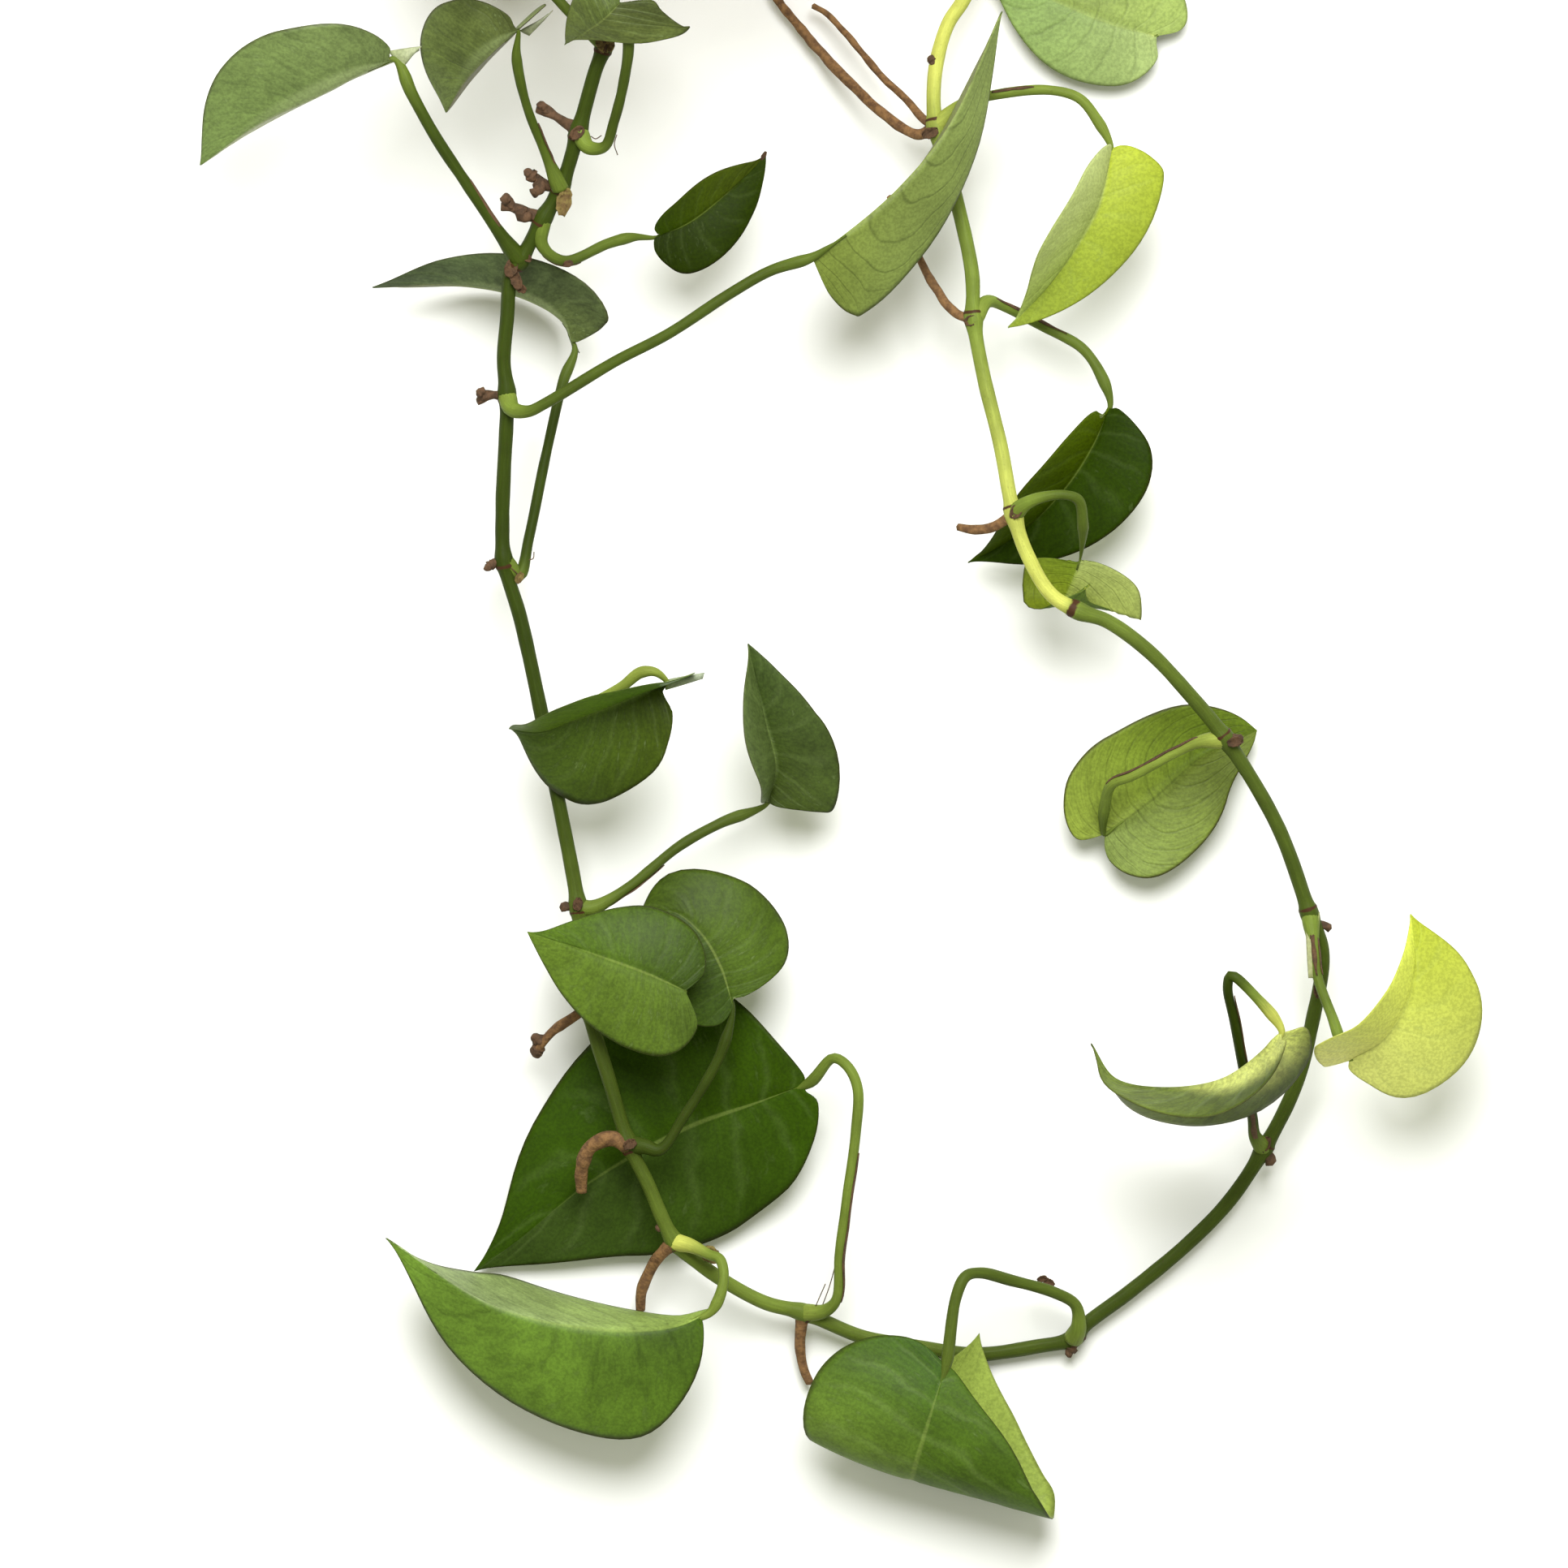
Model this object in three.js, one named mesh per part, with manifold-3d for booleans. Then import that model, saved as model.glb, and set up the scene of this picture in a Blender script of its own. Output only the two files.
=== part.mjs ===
// A potted trailing aroid: a terracotta pot of soil, a crown of short shoots, and one long vine that
// goes over the rim and lies along the surface in a wide U, with a heart-shaped leaf at each joint.
// Millimetres, +Z up. The origin is the middle of the pot's base, and the vine lies towards -Y.
import * as THREE from 'three';
import { mergeVertices } from 'three/addons/utils/BufferGeometryUtils.js';
import Module from 'manifold-3d';

const wasm = await Module();
wasm.setup();

// Pot and soil
const POT_HEIGHT = 122;
const POT_BASE_RADIUS = 47;
const POT_BAND_HEIGHT = 24;
const POT_SHOULDER_RADIUS = 63;
const POT_BAND_RADIUS = 67;
const POT_RIM_RADIUS = 70;
const POT_WALL = 5;
const POT_FLOOR = 7;
const POT_SIDES = 36;
const SOIL_EDGE_HEIGHT = 103;
const SOIL_TOP_HEIGHT = 107;

// Stems, petioles and blades
const STEM_RADIUS = 2.3;
const STEM_SIDES = 8;
const STEM_STEPS = 86;
const SHOOT_STEPS = 16;
const PETIOLE_RADIUS = 1.5;
const PETIOLE_SIDES = 5;
const PETIOLE_STEPS = 6;
const ROOT_SIDES = 5;
const ROOT_STEP_LENGTH = 9;
const BLADE_THICKNESS = 0.9;
const BLADE_COLUMNS = 2;
const RIB_STATIONS = 48;
const RIB_CREEP = 1.6;
const RIB_SEAT_STATION = 4;
const RIB_SEAT_DEPTH = 1.2;
const CLEARANCE = 0.3;
const SLIVER = 0.05;

// The middle of the U that the vine lies in, seen from the pot's base.
const VINE_CENTRE = new THREE.Vector3(30, -372, 0);

// Half of a blade's outline, from the notch at the petiole to the tip. The first number says whether
// the point lies in the base part (0), which ends where the blade is widest, or in the tip part (1).
// The second is how far along that part it lies, and the third how far out, against the half width.
const HALF_OUTLINE = [
  [0, 0.05, 0.14], [0, 0, 0.34], [0, 0.12, 0.62], [0, 0.4, 0.87], [0, 0.8, 0.99],
  [1, 0.12, 0.985], [1, 0.36, 0.85], [1, 0.6, 0.59], [1, 0.81, 0.28], [1, 0.93, 0.1],
];

const TINTS = {
  dark: 0x35591a,
  mid: 0x5b8a34,
  lime: 0xb0c447,
};

// Points below are x, y, z, with x and y from the middle of the U and z above the surface.
const STEM_PATH = [
  [-36, 331, 66], [-35.5, 328, 98], [-36.5, 319, 124], [-38.5, 304.5, 135], [-42, 290, 134],
  [-45, 275.5, 117], [-48.5, 260.5, 91], [-52, 244.5, 70], [-54.5, 224.5, 60], [-57.5, 216, 58],
  [-62.5, 198.5, 53], [-68, 181.5, 48], [-73.5, 172, 46], [-80.5, 159.5, 43], [-83, 156.5, 42],
  [-84.5, 141.5, 40], [-85.5, 129, 38], [-84.5, 118.5, 37], [-85.5, 95.5, 33], [-86, 82, 31],
  [-85.5, 68, 30], [-80.5, 50.5, 29], [-74.5, 23, 28], [-69.5, -2.5, 27], [-63, -37.5, 26],
  [-60, -68, 25], [-53.5, -91, 24], [-47.5, -110.5, 23], [-42, -122, 22], [-33.5, -140.5, 18],
  [-27, -146.5, 16], [-17, -153.5, 13], [-5.5, -159.5, 11], [6, -162.5, 9], [24, -170, 6],
  [40.5, -173, 5], [58.5, -175.5, 4], [78, -173, 4], [89, -170.5, 5], [92.5, -166.5, 5],
  [106.5, -156, 5], [124.5, -141, 6], [137, -128, 7], [147.5, -112, 10], [157, -92.5, 15],
  [162, -73, 19], [165, -51.5, 23], [161, -40, 26], [151, -13, 30], [135, 13.5, 34],
  [123.5, 27.5, 38], [111, 40.5, 42], [98.5, 49.5, 44], [90, 52.5, 45], [81.5, 57.5, 45],
  [74, 70, 44], [70, 82, 43], [66, 103.5, 38], [61, 124.5, 34], [58, 142, 31], [57.5, 156.5, 29],
  [52.5, 180, 26], [46.5, 201.5, 24], [46, 214.5, 22], [47.5, 224.5, 20], [50.5, 233.5, 18],
  [55, 240.5, 16], [62, 255.5, 13], [68.5, 268, 12], [74, 286, 10], [77, 303.5, 8],
  [78.5, 323.5, 7], [77, 341, 8],
];
const ROOTS = [
  { radius: 1.6, path: [
    [-62.5, 198.5, 53], [-68, 202, 51], [-74.5, 206, 49],
  ] },
  { radius: 1.5, path: [
    [-68, 181.5, 48], [-73.5, 183, 47], [-78, 186, 46],
  ] },
  { radius: 1.7, path: [
    [-73.5, 172, 46], [-80, 174.5, 45], [-85.5, 177, 44],
  ] },
  { radius: 1.4, path: [
    [-84.5, 118.5, 37], [-88.5, 119, 36], [-92.5, 118, 35],
  ] },
  { radius: 1.3, path: [
    [-85.5, 68, 30], [-90, 67, 30],
  ] },
  { radius: 1.3, path: [
    [-63, -37.5, 26], [-68, -37.5, 26],
  ] },
  { radius: 1.5, path: [
    [-60, -68, 25], [-65.5, -72, 24], [-71, -76, 22], [-75.5, -81.5, 19],
  ] },
  { radius: 2.2, path: [
    [-47.5, -110.5, 23], [-53, -108.5, 24], [-59.5, -111.5, 23], [-62, -118, 20], [-62, -125, 17],
  ] },
  { radius: 1.8, path: [
    [-33.5, -140.5, 18], [-37, -143.5, 17], [-40.5, -148, 14], [-43.5, -155, 12], [-44, -161.5, 9],
  ] },
  { radius: 1.6, path: [
    [6, -162.5, 9], [5, -168, 7], [5, -174.5, 5], [6.5, -181, 4], [8, -184.5, 4],
  ] },
  { radius: 1.3, path: [
    [89, -170.5, 5], [88.5, -174.5, 5],
  ] },
  { radius: 1.4, path: [
    [147.5, -112, 10], [149.5, -116.5, 10],
  ] },
  { radius: 1.3, path: [
    [135, 13.5, 34], [140, 14.5, 34],
  ] },
  { radius: 1.5, path: [
    [70, 82, 43], [64, 78.5, 41], [58, 77.5, 39], [53, 78.5, 38],
  ] },
  { radius: 1.3, path: [
    [58, 142, 31], [52.5, 144, 28], [46, 152.5, 24], [41.5, 161, 20], [36, 172, 16],
    [32.5, 180.5, 13],
  ] },
  { radius: 1.5, path: [
    [46.5, 201.5, 24], [41, 199, 20], [29.5, 206.5, 14], [17, 219, 8], [10, 226.5, 5],
    [3.5, 234.5, 4], [-2, 241.5, 4], [-7.5, 251.5, 3], [-11.5, 259, 3],
  ] },
  { radius: 1.1, path: [
    [46.5, 201.5, 24], [43.5, 203, 22], [37, 210.5, 17], [28, 219.5, 12], [20, 229.5, 9],
    [13.5, 236.5, 7], [9, 239.5, 6],
  ] },
];
const LEAVES = [
  {
    name: 'leaf_01',
    tint: 'dark',
    petiole: [
      [-45, 275.5, 117], [-39, 276, 123], [-29.5, 272, 128],
    ],
    rib: [
      [-22, 268.5, 130], [-8.5, 262, 130], [4.5, 256.5, 121], [15.5, 253, 106],
    ],
    left: [22, 6, 0.34, 6, 6, -30],
    right: [22, 6, 0.34, 6, 6, -30],
  },
  {
    name: 'leaf_02',
    tint: 'mid',
    petiole: [
      [-48.5, 260.5, 91], [-54, 263, 99], [-63.5, 266.5, 105],
    ],
    rib: [
      [-71, 269, 107], [-85.5, 275.5, 105], [-100.5, 280.5, 93], [-113, 283.5, 76],
    ],
    left: [24, 7, 0.34, 4, 4, -30],
    right: [24, 7, 0.34, 4, 4, -30],
  },
  {
    name: 'leaf_03',
    tint: 'mid',
    petiole: [
      [-54.5, 224.5, 60], [-60, 229.5, 62], [-65, 234, 63], [-72.5, 243, 64],
    ],
    rib: [
      [-76.5, 253, 66], [-79.5, 264.5, 68], [-87, 277, 64], [-99, 289, 54],
    ],
    left: [24, 5, 0.38, -12, -12, -20],
    right: [24, 5, 0.38, 10, 10, -30],
  },
  {
    name: 'leaf_04',
    tint: 'dark',
    petiole: [
      [-62.5, 198.5, 53], [-59.5, 193.5, 55], [-54.5, 193.5, 58], [-51.5, 201, 63],
      [-48.5, 212.5, 70], [-47, 224.5, 77],
    ],
    rib: [
      [-49.5, 235.5, 85], [-54, 231, 84], [-61, 226.5, 76], [-66.5, 224, 66],
    ],
    left: [21.8, 7, -0.31, -12, -20, -20, 0.64, 2.96],
    right: [13, 2, 0.1, 5, 5, -20, 1, 1.2],
  },
  {
    name: 'leaf_05',
    tint: 'dark',
    petiole: [
      [-68, 181, 49.5], [-73.5, 194, 55], [-77.5, 204, 61], [-80, 213.5, 66], [-81, 221, 70],
    ],
    rib: [
      [-80.5, 228, 74], [-88.5, 221, 71], [-96.5, 213.5, 60], [-103, 204.5, 45],
    ],
    left: [22, 10, 0.35, -95, -92, 0],
    right: [22, 1, 0.4, 12, 12, -30, 1.3, 1],
  },
  {
    name: 'leaf_06',
    tint: 'dark',
    petiole: [
      [-73.5, 172, 46], [-74, 165, 45], [-71, 161, 44], [-66, 159.5, 42], [-53.5, 165, 37],
      [-46, 167, 34],
    ],
    rib: [
      [-39.5, 167, 32], [-29, 171.5, 33], [-17, 181, 31], [-5.5, 192.5, 25],
    ],
    left: [12, -1, 0.38, 50, 50, 0, 1.4, 1.2],
    right: [14.5, 1.5, 0.2, 8, 8, -25, 1.1, 0.85],
  },
  {
    name: 'leaf_07',
    tint: 'mid',
    petiole: [
      [-80.5, 159.5, 43], [-87.5, 169, 48], [-95.5, 181, 52], [-105.5, 196, 56], [-113, 209.5, 59],
    ],
    rib: [
      [-118, 220, 60], [-129, 215, 62], [-141.5, 208.5, 62], [-159, 200.5, 57], [-178, 188.5, 44],
    ],
    left: [24, 9, 0.35, -92, -93, 0],
    right: [24.5, -0.5, 0.45, 41, 16, -20, 1.6, 1],
  },
  {
    name: 'leaf_08',
    tint: 'mid',
    faceDown: true,
    petiole: [
      [-84.5, 118.5, 37], [-83, 114.5, 40], [-78, 113.5, 44], [-72.5, 116, 46], [-51.5, 128.5, 49],
      [-35, 137, 51], [-16.5, 149, 53], [-4, 156, 54],
    ],
    rib: [
      [8.5, 160, 55], [18, 166, 56], [34.5, 180, 56], [50.5, 200, 53], [66.5, 235.5, 44],
    ],
    left: [26, 6, 0.3, -88, -88, 0],
    right: [25.2, 1.8, 0.05, -16, -53, -20, 0.52, 1],
  },
  {
    name: 'leaf_09',
    tint: 'dark',
    petiole: [
      [-85.5, 68, 30], [-81, 64, 28], [-78, 75.5, 27], [-73, 100, 26], [-67.5, 123.5, 25],
    ],
    rib: [
      [-64, 133, 24], [-68, 141.5, 25], [-81, 149, 24], [-101.5, 153, 20], [-126.5, 152.5, 13],
    ],
    left: [20, 2, 0.35, -95, -95, 0],
    right: [18, -2, 0.11, 37, 60, 0, 2.1, 0.9],
  },
  {
    name: 'leaf_10',
    tint: 'dark',
    petiole: [
      [-73, 15, 28], [-66, 21.5, 33], [-56, 26, 38], [-49, 30, 42], [-43.5, 34, 45], [-39, 34, 46],
    ],
    rib: [
      [-35.5, 30.5, 44], [-42.5, 28, 44], [-52, 24, 43], [-63.5, 19.5, 42], [-74, 16, 39],
      [-84, 17, 35],
    ],
    left: [27.7, -1.3, 0.68, 12, -20, -20, 1.09, 1.61],
    right: [23.5, 9, 0.3, 88, 66, 0, 1.25, 0.8],
  },
  {
    name: 'leaf_11',
    tint: 'dark',
    petiole: [
      [-63, -37.5, 26], [-59, -38, 26], [-47.5, -31.5, 24], [-32, -19, 22], [-19.5, -12, 21],
    ],
    rib: [
      [-5, -6, 20], [-2.5, 5, 23], [-5.5, 19, 27], [-8.5, 31.5, 31], [-11, 43, 34],
    ],
    left: [22, -2, 0.29, 84, 66, 0, 0.9, 1.2],
    right: [20, 0, 0.09, 15, 15, -30, 1.6, 0.85],
  },
  {
    name: 'leaf_12',
    tint: 'mid',
    petiole: [
      [-60, -68, 25], [-51, -70.5, 32], [-41, -68, 39],
    ],
    rib: [
      [-30, -63, 43], [-41, -58, 44], [-54.5, -53, 43], [-66, -49, 40], [-78.5, -45, 34],
    ],
    left: [24.5, 8, 0.18, 0, 0, -30, 0.65, 0.9],
    right: [20, 3, 0.31, 2, 2, -30, 0.85, 1.6],
  },
  {
    name: 'leaf_13',
    tint: 'mid',
    petiole: [
      [-47.5, -110.5, 23], [-42.5, -111, 25], [-38, -112, 26], [-30.5, -101.5, 27], [-25, -93, 28],
      [-19, -81.5, 29],
    ],
    rib: [
      [-15.5, -68, 30], [-19.5, -55.5, 31], [-26, -45, 31], [-34.5, -39, 29], [-45, -41.5, 25],
    ],
    left: [22, 4, 0.35, 4, 4, -20],
    right: [24, -2, 0.33, 0, 0, -30, 1.7, 0.9],
  },
  {
    name: 'leaf_14',
    tint: 'mid',
    petiole: [
      [-33.5, -140.5, 18], [-28.5, -141.5, 22], [-23, -144, 26], [-19.5, -145.5, 29],
      [-18.5, -152, 31],
    ],
    rib: [
      [-22, -161, 32], [-32, -165.5, 34], [-55.5, -166.5, 35], [-89, -159.5, 32], [-122, -139, 24],
    ],
    left: [34.5, -4, 0.26, 4, -16, -30, 3, 1.2],
    right: [31, 0, 0.64, -70, -74, 0, 2.5, 3],
  },
  {
    name: 'leaf_15',
    tint: 'dark',
    petiole: [
      [6, -162.5, 9], [12, -162, 12], [16, -158.5, 15], [17, -144.5, 19], [19.5, -125.5, 23],
      [22, -106.5, 25], [22.5, -93, 26], [19.5, -86.5, 25], [15, -84, 22],
    ],
    rib: [
      [8, -91.5, 18], [-9, -98, 15], [-29.5, -105.5, 12], [-59, -122, 9], [-82, -140.5, 6],
      [-95.5, -150, 4],
    ],
    left: [35, 0, 0.38, -2, -2, -12, 1.5, 1.2],
    right: [42, -1, 0.22, 4, 0, -16, 2.5, 1.2],
  },
  {
    name: 'leaf_16',
    tint: 'mid',
    petiole: [
      [89, -170.5, 6.5], [90.5, -166.5, 11], [89.5, -160, 14], [83, -156, 18], [69.5, -152, 23],
      [60, -149.5, 29], [55.5, -150.5, 32], [52.5, -157, 33],
    ],
    rib: [
      [49.5, -178, 33], [45, -192, 35], [40.5, -206.5, 32], [39, -213, 23], [39.5, -211, 13],
      [44, -198.5, 10], [51.5, -183.5, 10], [60, -168.5, 13],
    ],
    left: [45.3, 0, 0.52, 0, 0, 0, 2.97, 1.2],
    right: [38, 5, 0.21, 0, 0, -16, 0.9, 1.5],
  },
  {
    name: 'leaf_17',
    tint: 'mid',
    petiole: [
      [147.5, -112, 10], [144.5, -108, 16], [143.5, -102, 22], [140, -86.5, 40], [137, -72.5, 54],
      [134.5, -61.5, 63], [135.5, -58, 66], [142.5, -64, 65],
    ],
    rib: [
      [151, -75.5, 62], [145.5, -82, 60], [133, -90.5, 57], [114.5, -93, 53], [100.5, -90, 48],
      [93.5, -79, 42],
    ],
    left: [31, 4, 0.5, -59, -55, 0, 1, 0.75],
    right: [24, 0.5, 0.36, 108, 92, 0, 1, 1.8],
  },
  {
    name: 'leaf_18',
    tint: 'lime',
    petiole: [
      [161, -40, 26], [162, -50.5, 31], [163, -59, 34], [167, -70.5, 39],
    ],
    rib: [
      [172.5, -84, 43], [182.5, -78, 46], [189.5, -67, 48], [192, -55.5, 47], [191, -39.5, 41],
    ],
    left: [23, 6.5, 0, 66, 60, 0, 0.85, 1.4],
    right: [26.5, 2, 0.38, -18, -10, -24, 1.9, 1.1],
  },
  {
    name: 'leaf_19',
    tint: 'lime',
    faceDown: true,
    petiole: [
      [135, 13.5, 34], [127.5, 13, 33], [120.5, 10, 31], [106.5, 2.5, 27], [100.5, 0, 24],
      [98.5, -6, 18],
    ],
    rib: [
      [98.5, -15.5, 10], [113.5, -4.5, 10], [128.5, 8.5, 9], [145.5, 16.5, 7],
    ],
    left: [24.5, 8, 0.26, 5, 12, 10, 1.1, 0.65],
    right: [21, 3.5, 0.21, 0, 0, 8, 0.85, 0.75],
  },
  {
    name: 'leaf_20',
    tint: 'lime',
    faceDown: true,
    petiole: [
      [70, 82, 43], [73, 85, 46], [77.5, 87, 48], [85, 88, 49], [89.5, 86.5, 48], [91, 79.5, 44],
    ],
    rib: [
      [90.5, 69, 35], [88.5, 62.5, 31], [86, 56.5, 28], [86.5, 55, 30.5], [89, 57.5, 34],
      [93.5, 61, 36],
    ],
    left: [24.5, 0, 0.5, -6, -6, -8, 1.55, 2.4],
    right: [15.6, -2.3, 0.4, -10, -10, -8, 1.5, 3.6],
  },
  {
    name: 'leaf_21',
    tint: 'dark',
    petiole: [
      [58, 142, 31], [62, 147.5, 28], [68, 146, 22], [80, 140, 18], [91.5, 133.5, 19],
      [97.5, 124.5, 21],
    ],
    rib: [
      [100, 116, 22], [94.5, 103.5, 22], [86, 90.5, 20], [73, 77.5, 16], [56.5, 68, 8],
    ],
    left: [21.5, 0, 0.27, 22, 22, -20, 1.8, 1.2],
    right: [20, -3.5, 0.5, 60, 60, 0, 1, 1.6],
  },
  {
    name: 'leaf_22',
    tint: 'lime',
    petiole: [
      [46.5, 201.5, 24], [54.5, 208, 27], [63.5, 210.5, 30], [80.5, 212, 33], [90, 209.5, 34],
      [95.5, 203, 34],
    ],
    rib: [
      [100, 194, 34], [96.5, 177.5, 36], [90, 165, 35], [80.5, 152, 32], [68.5, 139.5, 28],
    ],
    left: [17.5, 2, 0.11, 8, 8, -30, 1, 0.8],
    right: [22, 1, 0.5, 64, 64, 0, 2.1, 2],
  },
  {
    name: 'leaf_23',
    tint: 'lime',
    petiole: [
      [68.5, 268, 12], [86, 266, 5], [103.5, 256.5, 2.5], [111, 244, 3],
    ],
    rib: [
      [114.5, 230, 7], [101, 233.5, 9], [81, 241.5, 9], [62, 250, 6],
    ],
    left: [20, 2, 0.36, 2, 2, -14],
    right: [24, 8, 0.36, 2, 2, -14],
  },
  {
    name: 'leaf_24',
    tint: 'lime',
    petiole: [
      [77, 303.5, 8], [83, 306, 13], [94.5, 312.5, 19],
    ],
    rib: [
      [102.5, 319, 21], [115.5, 326, 22], [126.5, 330.5, 18], [138, 333.5, 11],
    ],
    left: [17, 4, 0.34, 16, 16, -20],
    right: [17, 4, 0.34, 16, 16, -20],
  },
  {
    name: 'leaf_25',
    tint: 'lime',
    petiole: [
      [78, 337, 8], [77, 344, 12], [75.5, 350, 15],
    ],
    rib: [
      [75, 355, 17], [73.5, 364.5, 20], [72.5, 376, 21], [72, 387, 20],
    ],
    left: [8, 0, 0.4, 62, 62, 0],
    right: [8, 0, 0.4, 62, 62, 0],
  },
];

// The crown's short shoots, from the pot's middle: a path and its leaves, each at a height on the
// shoot, with the way it points in degrees, its petiole's reach and rise, and its blade's length.
const SHOOTS = [
  {
    name: 'shoot_a',
    path: [[16, 6, 64], [17, 8, 110], [22, 14, 150], [20, 24, 186], [26, 34, 206]],
    leaves: [
      { height: 128, azimuth: -12, reach: 34, rise: 16, length: 74 },
      { height: 150, azimuth: 128, reach: 26, rise: 22, length: 70 },
      { height: 178, azimuth: 12, reach: 26, rise: 20, length: 66 },
      { height: 203, azimuth: 70, reach: 22, rise: 16, length: 54 },
    ],
  },
  {
    name: 'shoot_b',
    path: [[-20, 16, 64], [-21, 17, 110], [-28, 18, 140], [-34, 26, 166]],
    leaves: [
      { height: 122, azimuth: 214, reach: 38, rise: 14, length: 72 },
      { height: 142, azimuth: 150, reach: 34, rise: 8, length: 66 },
      { height: 163, azimuth: 190, reach: 28, rise: 26, length: 60 },
    ],
  },
];
const CROWN_HALF_WIDTH_SHARE = 0.36;
const CROWN_LOBE_SHARE = 0.1;
const CROWN_WIDEST = 0.34;
const CROWN_FOLD_DEGREES = 14;
const CROWN_CURL_DEGREES = -30;

function toVectors(points, origin) {
  return points.map(([x, y, z]) => new THREE.Vector3(x, y, z).add(origin));
}

function solidOf(geometry) {
  geometry.deleteAttribute('normal');
  geometry.deleteAttribute('uv');
  const merged = mergeVertices(geometry, 1e-4);
  return new wasm.Manifold(new wasm.Mesh({
    numProp: 3,
    vertProperties: new Float32Array(merged.attributes.position.array),
    triVerts: new Uint32Array(merged.index.array),
  }));
}

function meshOf(name, solid, look) {
  const data = largestPiece(solid.simplify(SLIVER)).getMesh();
  const geometry = new THREE.BufferGeometry();
  geometry.setAttribute('position', new THREE.BufferAttribute(data.vertProperties, 3));
  geometry.setIndex(new THREE.BufferAttribute(data.triVerts, 1));
  geometry.computeVertexNormals();
  const mesh = new THREE.Mesh(geometry, new THREE.MeshStandardMaterial(look));
  mesh.name = name;
  return mesh;
}

// A round bar along a curve.
function barAlong(points, radius, sides, steps) {
  const section = new THREE.Shape();
  for (let side = 0; side < sides; side += 1) {
    const turn = (side / sides) * Math.PI * 2;
    const x = Math.cos(turn) * radius;
    const y = Math.sin(turn) * radius;
    if (side === 0) {
      section.moveTo(x, y);
    } else {
      section.lineTo(x, y);
    }
  }
  section.closePath();
  const path = new THREE.CatmullRomCurve3(points);
  return solidOf(new THREE.ExtrudeGeometry(section, { steps, extrudePath: path, curveSegments: 1 }));
}

// The blade's rib: places, directions, the sideways direction (left, looking to the tip) and up.
function ribFrames(points) {
  const curve = new THREE.CatmullRomCurve3(points);
  const places = curve.getSpacedPoints(RIB_STATIONS);
  const along = places.map((_, station) => curve.getTangentAt(station / RIB_STATIONS));
  const across = [new THREE.Vector3(0, 0, 1).cross(along[0]).normalize()];
  for (let station = 1; station <= RIB_STATIONS; station += 1) {
    const before = across[station - 1].clone();
    before.addScaledVector(along[station], -before.dot(along[station]));
    across.push(before.normalize());
  }
  const up = along.map((direction, station) => direction.clone().cross(across[station]));
  return { places, along, across, up, length: curve.getLength() };
}

function between(list, share) {
  const place = THREE.MathUtils.clamp(share, 0, 1) * RIB_STATIONS;
  const low = Math.min(Math.floor(place), RIB_STATIONS - 1);
  return list[low].clone().lerp(list[low + 1], place - low);
}

// A half blade is [half width, lobe behind the petiole, widest at, tilt at the base, tilt at the tip,
// curl, shoulder, taper]. The angles are degrees, and a positive tilt lifts the margin above the rib.
// Shoulder and taper are 1 on a plain heart, and more where the base or the tip is narrower.
function placeOnHalf(frames, half, sign, alongRib, outward) {
  const [width, , , tiltBase, tiltTip, curl] = half;
  const share = alongRib / frames.length;
  const tilt = THREE.MathUtils.lerp(tiltBase, tiltTip, THREE.MathUtils.clamp(share, 0, 1));
  const angle = THREE.MathUtils.degToRad(tilt + (curl * outward) / (2 * width));
  return between(frames.places, share)
    .addScaledVector(between(frames.along, share), Math.min(alongRib, 0))
    .addScaledVector(between(frames.across, share), sign * outward * Math.cos(angle))
    .addScaledVector(between(frames.up, share), outward * Math.sin(angle));
}

function outlineOf(half, length) {
  const [width, lobe, widest, , , , shoulder = 1, taper = 1] = half;
  const widestAt = widest * length;
  return HALF_OUTLINE.map(([part, share, out]) => (part === 0
    ? [-lobe + (widestAt + lobe) * share, width * out ** shoulder]
    : [widestAt + (length - widestAt) * share, width * out ** taper]));
}

// The blade's middle surface: rows run from the rib to the margin, and meet at the rib.
function bladeSurface(leaf, frames) {
  const rows = HALF_OUTLINE.length + 1;
  const points = [placeOnHalf(frames, leaf.left, 1, 0, 0), placeOnHalf(frames, leaf.left, 1, frames.length, 0)];
  const ribIndex = [0];
  for (let row = 1; row < rows; row += 1) {
    ribIndex.push(points.length);
    points.push(placeOnHalf(frames, leaf.left, 1, frames.length * (row / rows) ** RIB_CREEP, 0));
  }
  ribIndex.push(1);
  const faces = [];
  const margins = [];
  for (const [half, sign] of [[leaf.left, 1], [leaf.right, -1]]) {
    const outline = outlineOf(half, frames.length);
    const grid = [Array(BLADE_COLUMNS + 1).fill(0)];
    for (let row = 1; row < rows; row += 1) {
      const ribAt = frames.length * (row / rows) ** RIB_CREEP;
      const line = [ribIndex[row]];
      for (let column = 1; column <= BLADE_COLUMNS; column += 1) {
        const share = column / BLADE_COLUMNS;
        line.push(points.length);
        points.push(placeOnHalf(frames, half, sign,
          THREE.MathUtils.lerp(ribAt, outline[row - 1][0], share), outline[row - 1][1] * share));
      }
      grid.push(line);
    }
    grid.push(Array(BLADE_COLUMNS + 1).fill(1));
    for (let row = 0; row < rows; row += 1) {
      for (let column = 0; column < BLADE_COLUMNS; column += 1) {
        const a = grid[row][column];
        const b = grid[row + 1][column];
        const c = grid[row + 1][column + 1];
        const d = grid[row][column + 1];
        for (const face of [[a, b, c], [a, c, d]]) {
          if (new Set(face).size === 3) {
            faces.push(sign > 0 ? face : [face[0], face[2], face[1]]);
          }
        }
      }
    }
    margins.push(grid.slice(1, rows).map((line) => line[BLADE_COLUMNS]));
  }
  const loop = [0, ...margins[1], 1, ...margins[0].reverse()];
  return { points, faces, loop };
}

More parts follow.
